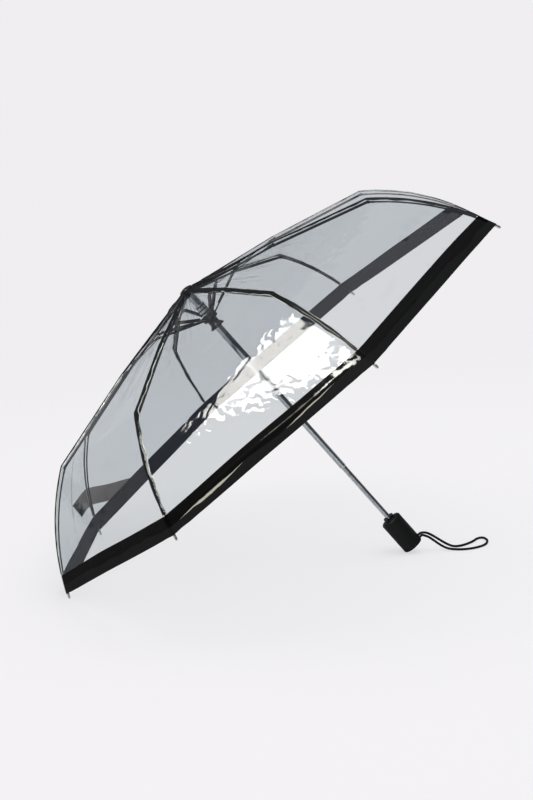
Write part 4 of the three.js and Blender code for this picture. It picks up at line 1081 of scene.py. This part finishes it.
# %% Runner
runner_profile = [
    (6.75, -77), (12.3, -77), (12.7, -76.5), (12.7, -75.4), (12.2, -74.8), (9.6, -71.6), (8.3, -69),
    (8.3, -63.4), (9.4, -62.4), (12.4, -61.2), (13, -60.6), (13, -57.2), (12.6, -56.8), (12.6, -55.2),
    (13, -54.8), (13, -51.6), (12.4, -51), (6.75, -51), (6.75, -77),
]  # fmt: skip
runner = turned("runner_spool", runner_profile, 64, bored=True)
strut_slots = cutter_ring(size=(5.4, 3.2, 13), centre=(11.3, -56.5), angles=rib_angles)
cut_with(runner, strut_slots)
flange_notches = cutter_ring(size=(4.3, 4.4, 6), centre=(12.75, -75), angles=rib_angles)
cut_with(runner, flange_notches)
bevelled(runner, 0.25)
set_down(runner, moulded_abs, "runner", ["runner"])

# %% [markdown]
# The handle is short and plain: a soft-touch shell with a chamfered rim and a rounded foot. The cord's
# slot is cut through its side.

# %% Handle shell
FOOT_RADIUS = 3
FOOT_STEPS = 8
foot = []
for step in range(FOOT_STEPS + 1):
    turn = step / FOOT_STEPS * math.pi / 2
    foot.append((14.4 + FOOT_RADIUS * math.sin(turn), -557 + FOOT_RADIUS * (1 - math.cos(turn))))
shell_profile = [
    (13.1, -554), (13.1, -557), *foot, (17.4, -500), (17.2, -499.3), (15.7, -497.7), (15.1, -497.4),
    (9.8, -496.1), (9.3, -496.3), (9.3, -554), (13.1, -554),
]  # fmt: skip
handle = turned("handle_grip", shell_profile, 96, bored=True)
cord_slot = cutter_ring(size=(8.4, 4.8, 9.2), centre=(-15, -549.8), angles=[0])
cut_with(handle, cord_slot)
bevelled(handle, 0.3)
set_down(handle, soft_touch, "handle", ["handle_shell"], TOWARD_FLOOR)

# %% [markdown]
# In the handle's top sits the inner sleeve, whose collar has four notches, where the folded crown locks.
# The end cap is a flat dome.

# %% Handle collar and end cap
sleeve_profile = [
    (4.8, -543), (9, -543), (9, -492.2), (8.6, -491.7), (7, -491.7), (6.6, -492.1), (6.6, -500.7),
    (4.8, -500.7), (4.8, -543),
]  # fmt: skip
sleeve = turned("handle_collar", sleeve_profile, 64, bored=True)
quarters = [i * math.pi / 2 for i in range(4)]
collar_notches = cutter_ring(size=(10, 4, 10.6), centre=(5.4, -491.7), angles=quarters)
cut_with(sleeve, collar_notches)
bevelled(sleeve, 0.2)
set_down(sleeve, moulded_abs, "handle", ["handle_sleeve"], TOWARD_FLOOR)

cap_dome = [
    (13, -554.2), (13, -556.8), (12.6, -557.3), (10.5, -558.2), (7.5, -559.1), (4, -559.7), (1, -559.95),
]  # fmt: skip
end_cap = turned("handle_foot_cap", cap_dome, 64)
set_down(end_cap, moulded_abs, "handle", ["handle_end_cap"], TOWARD_FLOOR)

# %% [markdown]
# Each rib ends in a nickel-plated tip, to which the canopy is tied. The CAD rib has the tip's shape in
# black, so a bright cap is slipped over it, modelled once at its real size and copied for the other seven.

# %% Rib tips
TIP_LENGTH = 12.4
TIP_PAST_RIM, TIP_UNDER_FILM = 8 * MM, 2.6 * MM
tip_profile = [
    (1.3, TIP_LENGTH), (1.95, TIP_LENGTH - 0.3), (2.02, TIP_LENGTH - 1), (2.02, 2.2), (1.7, 1), (1.1, 0.1),
    (0.5, -0.15),
]  # fmt: skip
rim_heading = (rib_line[-1] - rib_line[-2]).normalized()
rim_inward = Vector((rim_heading.y, -rim_heading.x))
tip_end = RIM + rim_heading * TIP_PAST_RIM + rim_inward * TIP_UNDER_FILM
out, side = Vector((rim_heading.x, 0, rim_heading.y)), Vector((0, 1, 0))
along_rib = Matrix((side.cross(-out), side, -out)).transposed().to_4x4()
first_tip = turned("rib_tip_1", tip_profile, 24)
tips = []
for rib in range(RIBS):
    tip = first_tip
    if rib:
        tip = first_tip.copy()
        tip.data = first_tip.data.copy()
        tip.name = f"rib_tip_{rib + 1}"
        bpy.context.collection.objects.link(tip)
    tips.append(tip)
for rib, tip in enumerate(tips):
    place = Matrix.Rotation(rib * GORE, 4, "Z") @ Matrix.Translation((tip_end.x, 0, tip_end.y)) @ along_rib
    set_down(tip, nickel_tip, f"outer_rib_{rib + 1}", [], place)

# %% [markdown]
# The ribs, struts, links and the small pieces inside stay as the CAD frame has them: their shapes are
# right. They only get their finishes. A CAD node keeps its mesh, so a finish is put in its slots.

# %% Finishes of the CAD pieces
RIB_PIECES = ("top_rib", "middle_rib", "outer_rib", "strut", "link")

for name, node in frame["nodes"].items():
    if name.startswith(RIB_PIECES):
        node_finish = black_paint
    elif name == "handle_roll_pin":
        node_finish = chrome_plate
    else:
        node_finish = moulded_abs
    for material_slot in node.material_slots:
        material_slot.material = node_finish
print("finishes put on", len(frame["nodes"]), "CAD nodes")

# %% [markdown]
# The studio is plain. The floor is a pale disc that fades out far from the umbrella, so that no horizon
# shows. The camera sees most of it as a plain pale colour, and the rest as a matt surface, which keeps
# the umbrella's soft shadow.

# %% Floor
BACKGROUND = "F0EEF0"
SHADOW_SHARE = 0.3
FLOOR_RADIUS = 6
FADE_FROM, FADE_TO = 0.9, 3.2

bpy.ops.object.select_all(action="DESELECT")
bpy.ops.mesh.primitive_circle_add(vertices=96, radius=FLOOR_RADIUS, fill_type="NGON")
floor = bpy.context.object
floor.name = "floor"
floor_material, floor_tree = new_material("pale_floor")
floor_place = add_node(floor_tree, "TexCoord").outputs["Object"]
floor_reach = add_node(floor_tree, "VectorMath", {"operation": "LENGTH"}, {0: floor_place}).outputs["Value"]
settings = {"From Min": FADE_FROM, "From Max": FADE_TO, "interpolation_type": "SMOOTHSTEP"}
floor_fade = add_node(floor_tree, "MapRange", settings, {"Value": floor_reach}).outputs[0]
floor_matt = add_node(floor_tree, "BsdfDiffuse", {"Color": linear("FBFAFB")}).outputs[0]
floor_pale = add_node(floor_tree, "Emission", {"Color": linear(BACKGROUND), "Strength": 1.0}).outputs[0]
floor_seen = add_node(floor_tree, "LightPath").outputs["Is Camera Ray"]
settings = {"operation": "MULTIPLY", 1: 1 - SHADOW_SHARE}
floor_seen = add_node(floor_tree, "Math", settings, {0: floor_seen}).outputs[0]
floor_look = add_node(floor_tree, "MixShader", links={0: floor_seen, 1: floor_matt, 2: floor_pale}).outputs[0]
floor_clear = add_node(floor_tree, "BsdfTransparent").outputs[0]
finished(floor_tree, add_node(floor_tree, "MixShader", links={0: floor_fade, 1: floor_look, 2: floor_clear}))
floor.data.materials.append(floor_material)
print("floor", FLOOR_RADIUS, "m in radius, fading out from", FADE_FROM, "m")

# %% [markdown]
# The world lights everything evenly. Straight on and through glass it has the same pale colour as the
# floor. In a mirror image it is pale only behind the umbrella and below the ceiling, and a dark room
# elsewhere, because chrome and film need something dark to mirror.

# %% World
WORLD_LIGHT = 0.72
DARK_ROOM = "54575A"
BACKDROP_EDGE = (-0.35, 0.15)
CEILING_EDGE = (0.45, 0.1)

world = bpy.data.worlds.new("studio")
bpy.context.scene.world = world
world.use_nodes = True
world_tree = world.node_tree
world_tree.nodes.clear()
heading = add_node(world_tree, "TexCoord").outputs["Generated"]
heading = add_node(world_tree, "SeparateXYZ", links={0: heading}).outputs


def fades(value, edge):
    """0 at the first number of an edge and 1 at its second, with a soft change between them."""
    settings = {"From Min": edge[0], "From Max": edge[1], "interpolation_type": "SMOOTHSTEP"}
    return add_node(world_tree, "MapRange", settings, {"Value": value}).outputs[0]


links = {0: fades(heading[1], BACKDROP_EDGE), 1: fades(heading[2], CEILING_EDGE)}
pale_part = add_node(world_tree, "Math", {"operation": "MULTIPLY"}, links).outputs[0]
mirrored = tinted(world_tree, pale_part, DARK_ROOM, BACKGROUND)
settings = {"Color": linear("FFFFFF"), "Strength": WORLD_LIGHT}
lit = add_node(world_tree, "Background", settings).outputs[0]
in_mirror = add_node(world_tree, "Background", {"Strength": 1.0}, {"Color": mirrored}).outputs[0]
settings = {"Color": linear(BACKGROUND), "Strength": 1.0}
backdrop = add_node(world_tree, "Background", settings).outputs[0]
rays = add_node(world_tree, "LightPath").outputs
links = {0: rays["Is Camera Ray"], 1: rays["Is Transmission Ray"]}
straight = add_node(world_tree, "Math", {"operation": "MAXIMUM"}, links).outputs[0]
links = {0: rays["Is Glossy Ray"], 1: lit, 2: in_mirror}
world_mix = add_node(world_tree, "MixShader", links=links).outputs[0]
world_mix = add_node(world_tree, "MixShader", links={0: straight, 1: world_mix, 2: backdrop}).outputs[0]
add_node(world_tree, "OutputWorld", links={"Surface": world_mix})
print("world light", WORLD_LIGHT)

# %% [markdown]
# One wide soft lamp hangs over the umbrella, at a level at which a colour renders about as it is
# written.

# %% Lamps
def lamp(name, place, target, size, watts):
    bpy.ops.object.select_all(action="DESELECT")
    bpy.ops.object.light_add(type="AREA", location=place)
    light = bpy.context.object
    light.name = name
    light.data.shape = "RECTANGLE"
    light.data.size, light.data.size_y = size
    light.data.energy = watts
    light.visible_camera = False
    light.rotation_mode = "QUATERNION"
    light.rotation_quaternion = (Vector(target) - Vector(place)).to_track_quat("-Z", "Y")
    print(name, watts, "W")
    return light


lamp("overhead_softbox", place=(0.3, -0.2, 3.2), target=(0, 0, 0.2), size=(2.6, 2.6), watts=42)

# %% [markdown]
# One more softbox stands to the left. Its light on the pieces is left out, and only its mirror image
# shows: on the flat gore that faces the camera it makes a broad white glare with torn edges, because
# the film there is nearly flat but not quite.

# %% Glare
GLARE_DISTANCE = 0.966
GLARE_SLANT = math.radians(1)
glare_target = Vector((0.038, -0.378, 0.382))
glare_way = Vector((-0.566, -0.455, 0.688)).normalized()
glare_place = glare_target + glare_way * GLARE_DISTANCE
glare = lamp("glare_softbox", glare_place, glare_target, size=(0.7, 0.347), watts=38)
glare.rotation_quaternion = glare.rotation_quaternion @ Quaternion((0, 0, 1), GLARE_SLANT)
glare.data.color = (1, 0.985, 0.94)
glare.visible_diffuse = False

# %% Colour management
bpy.context.scene.view_settings.view_transform = "Standard"
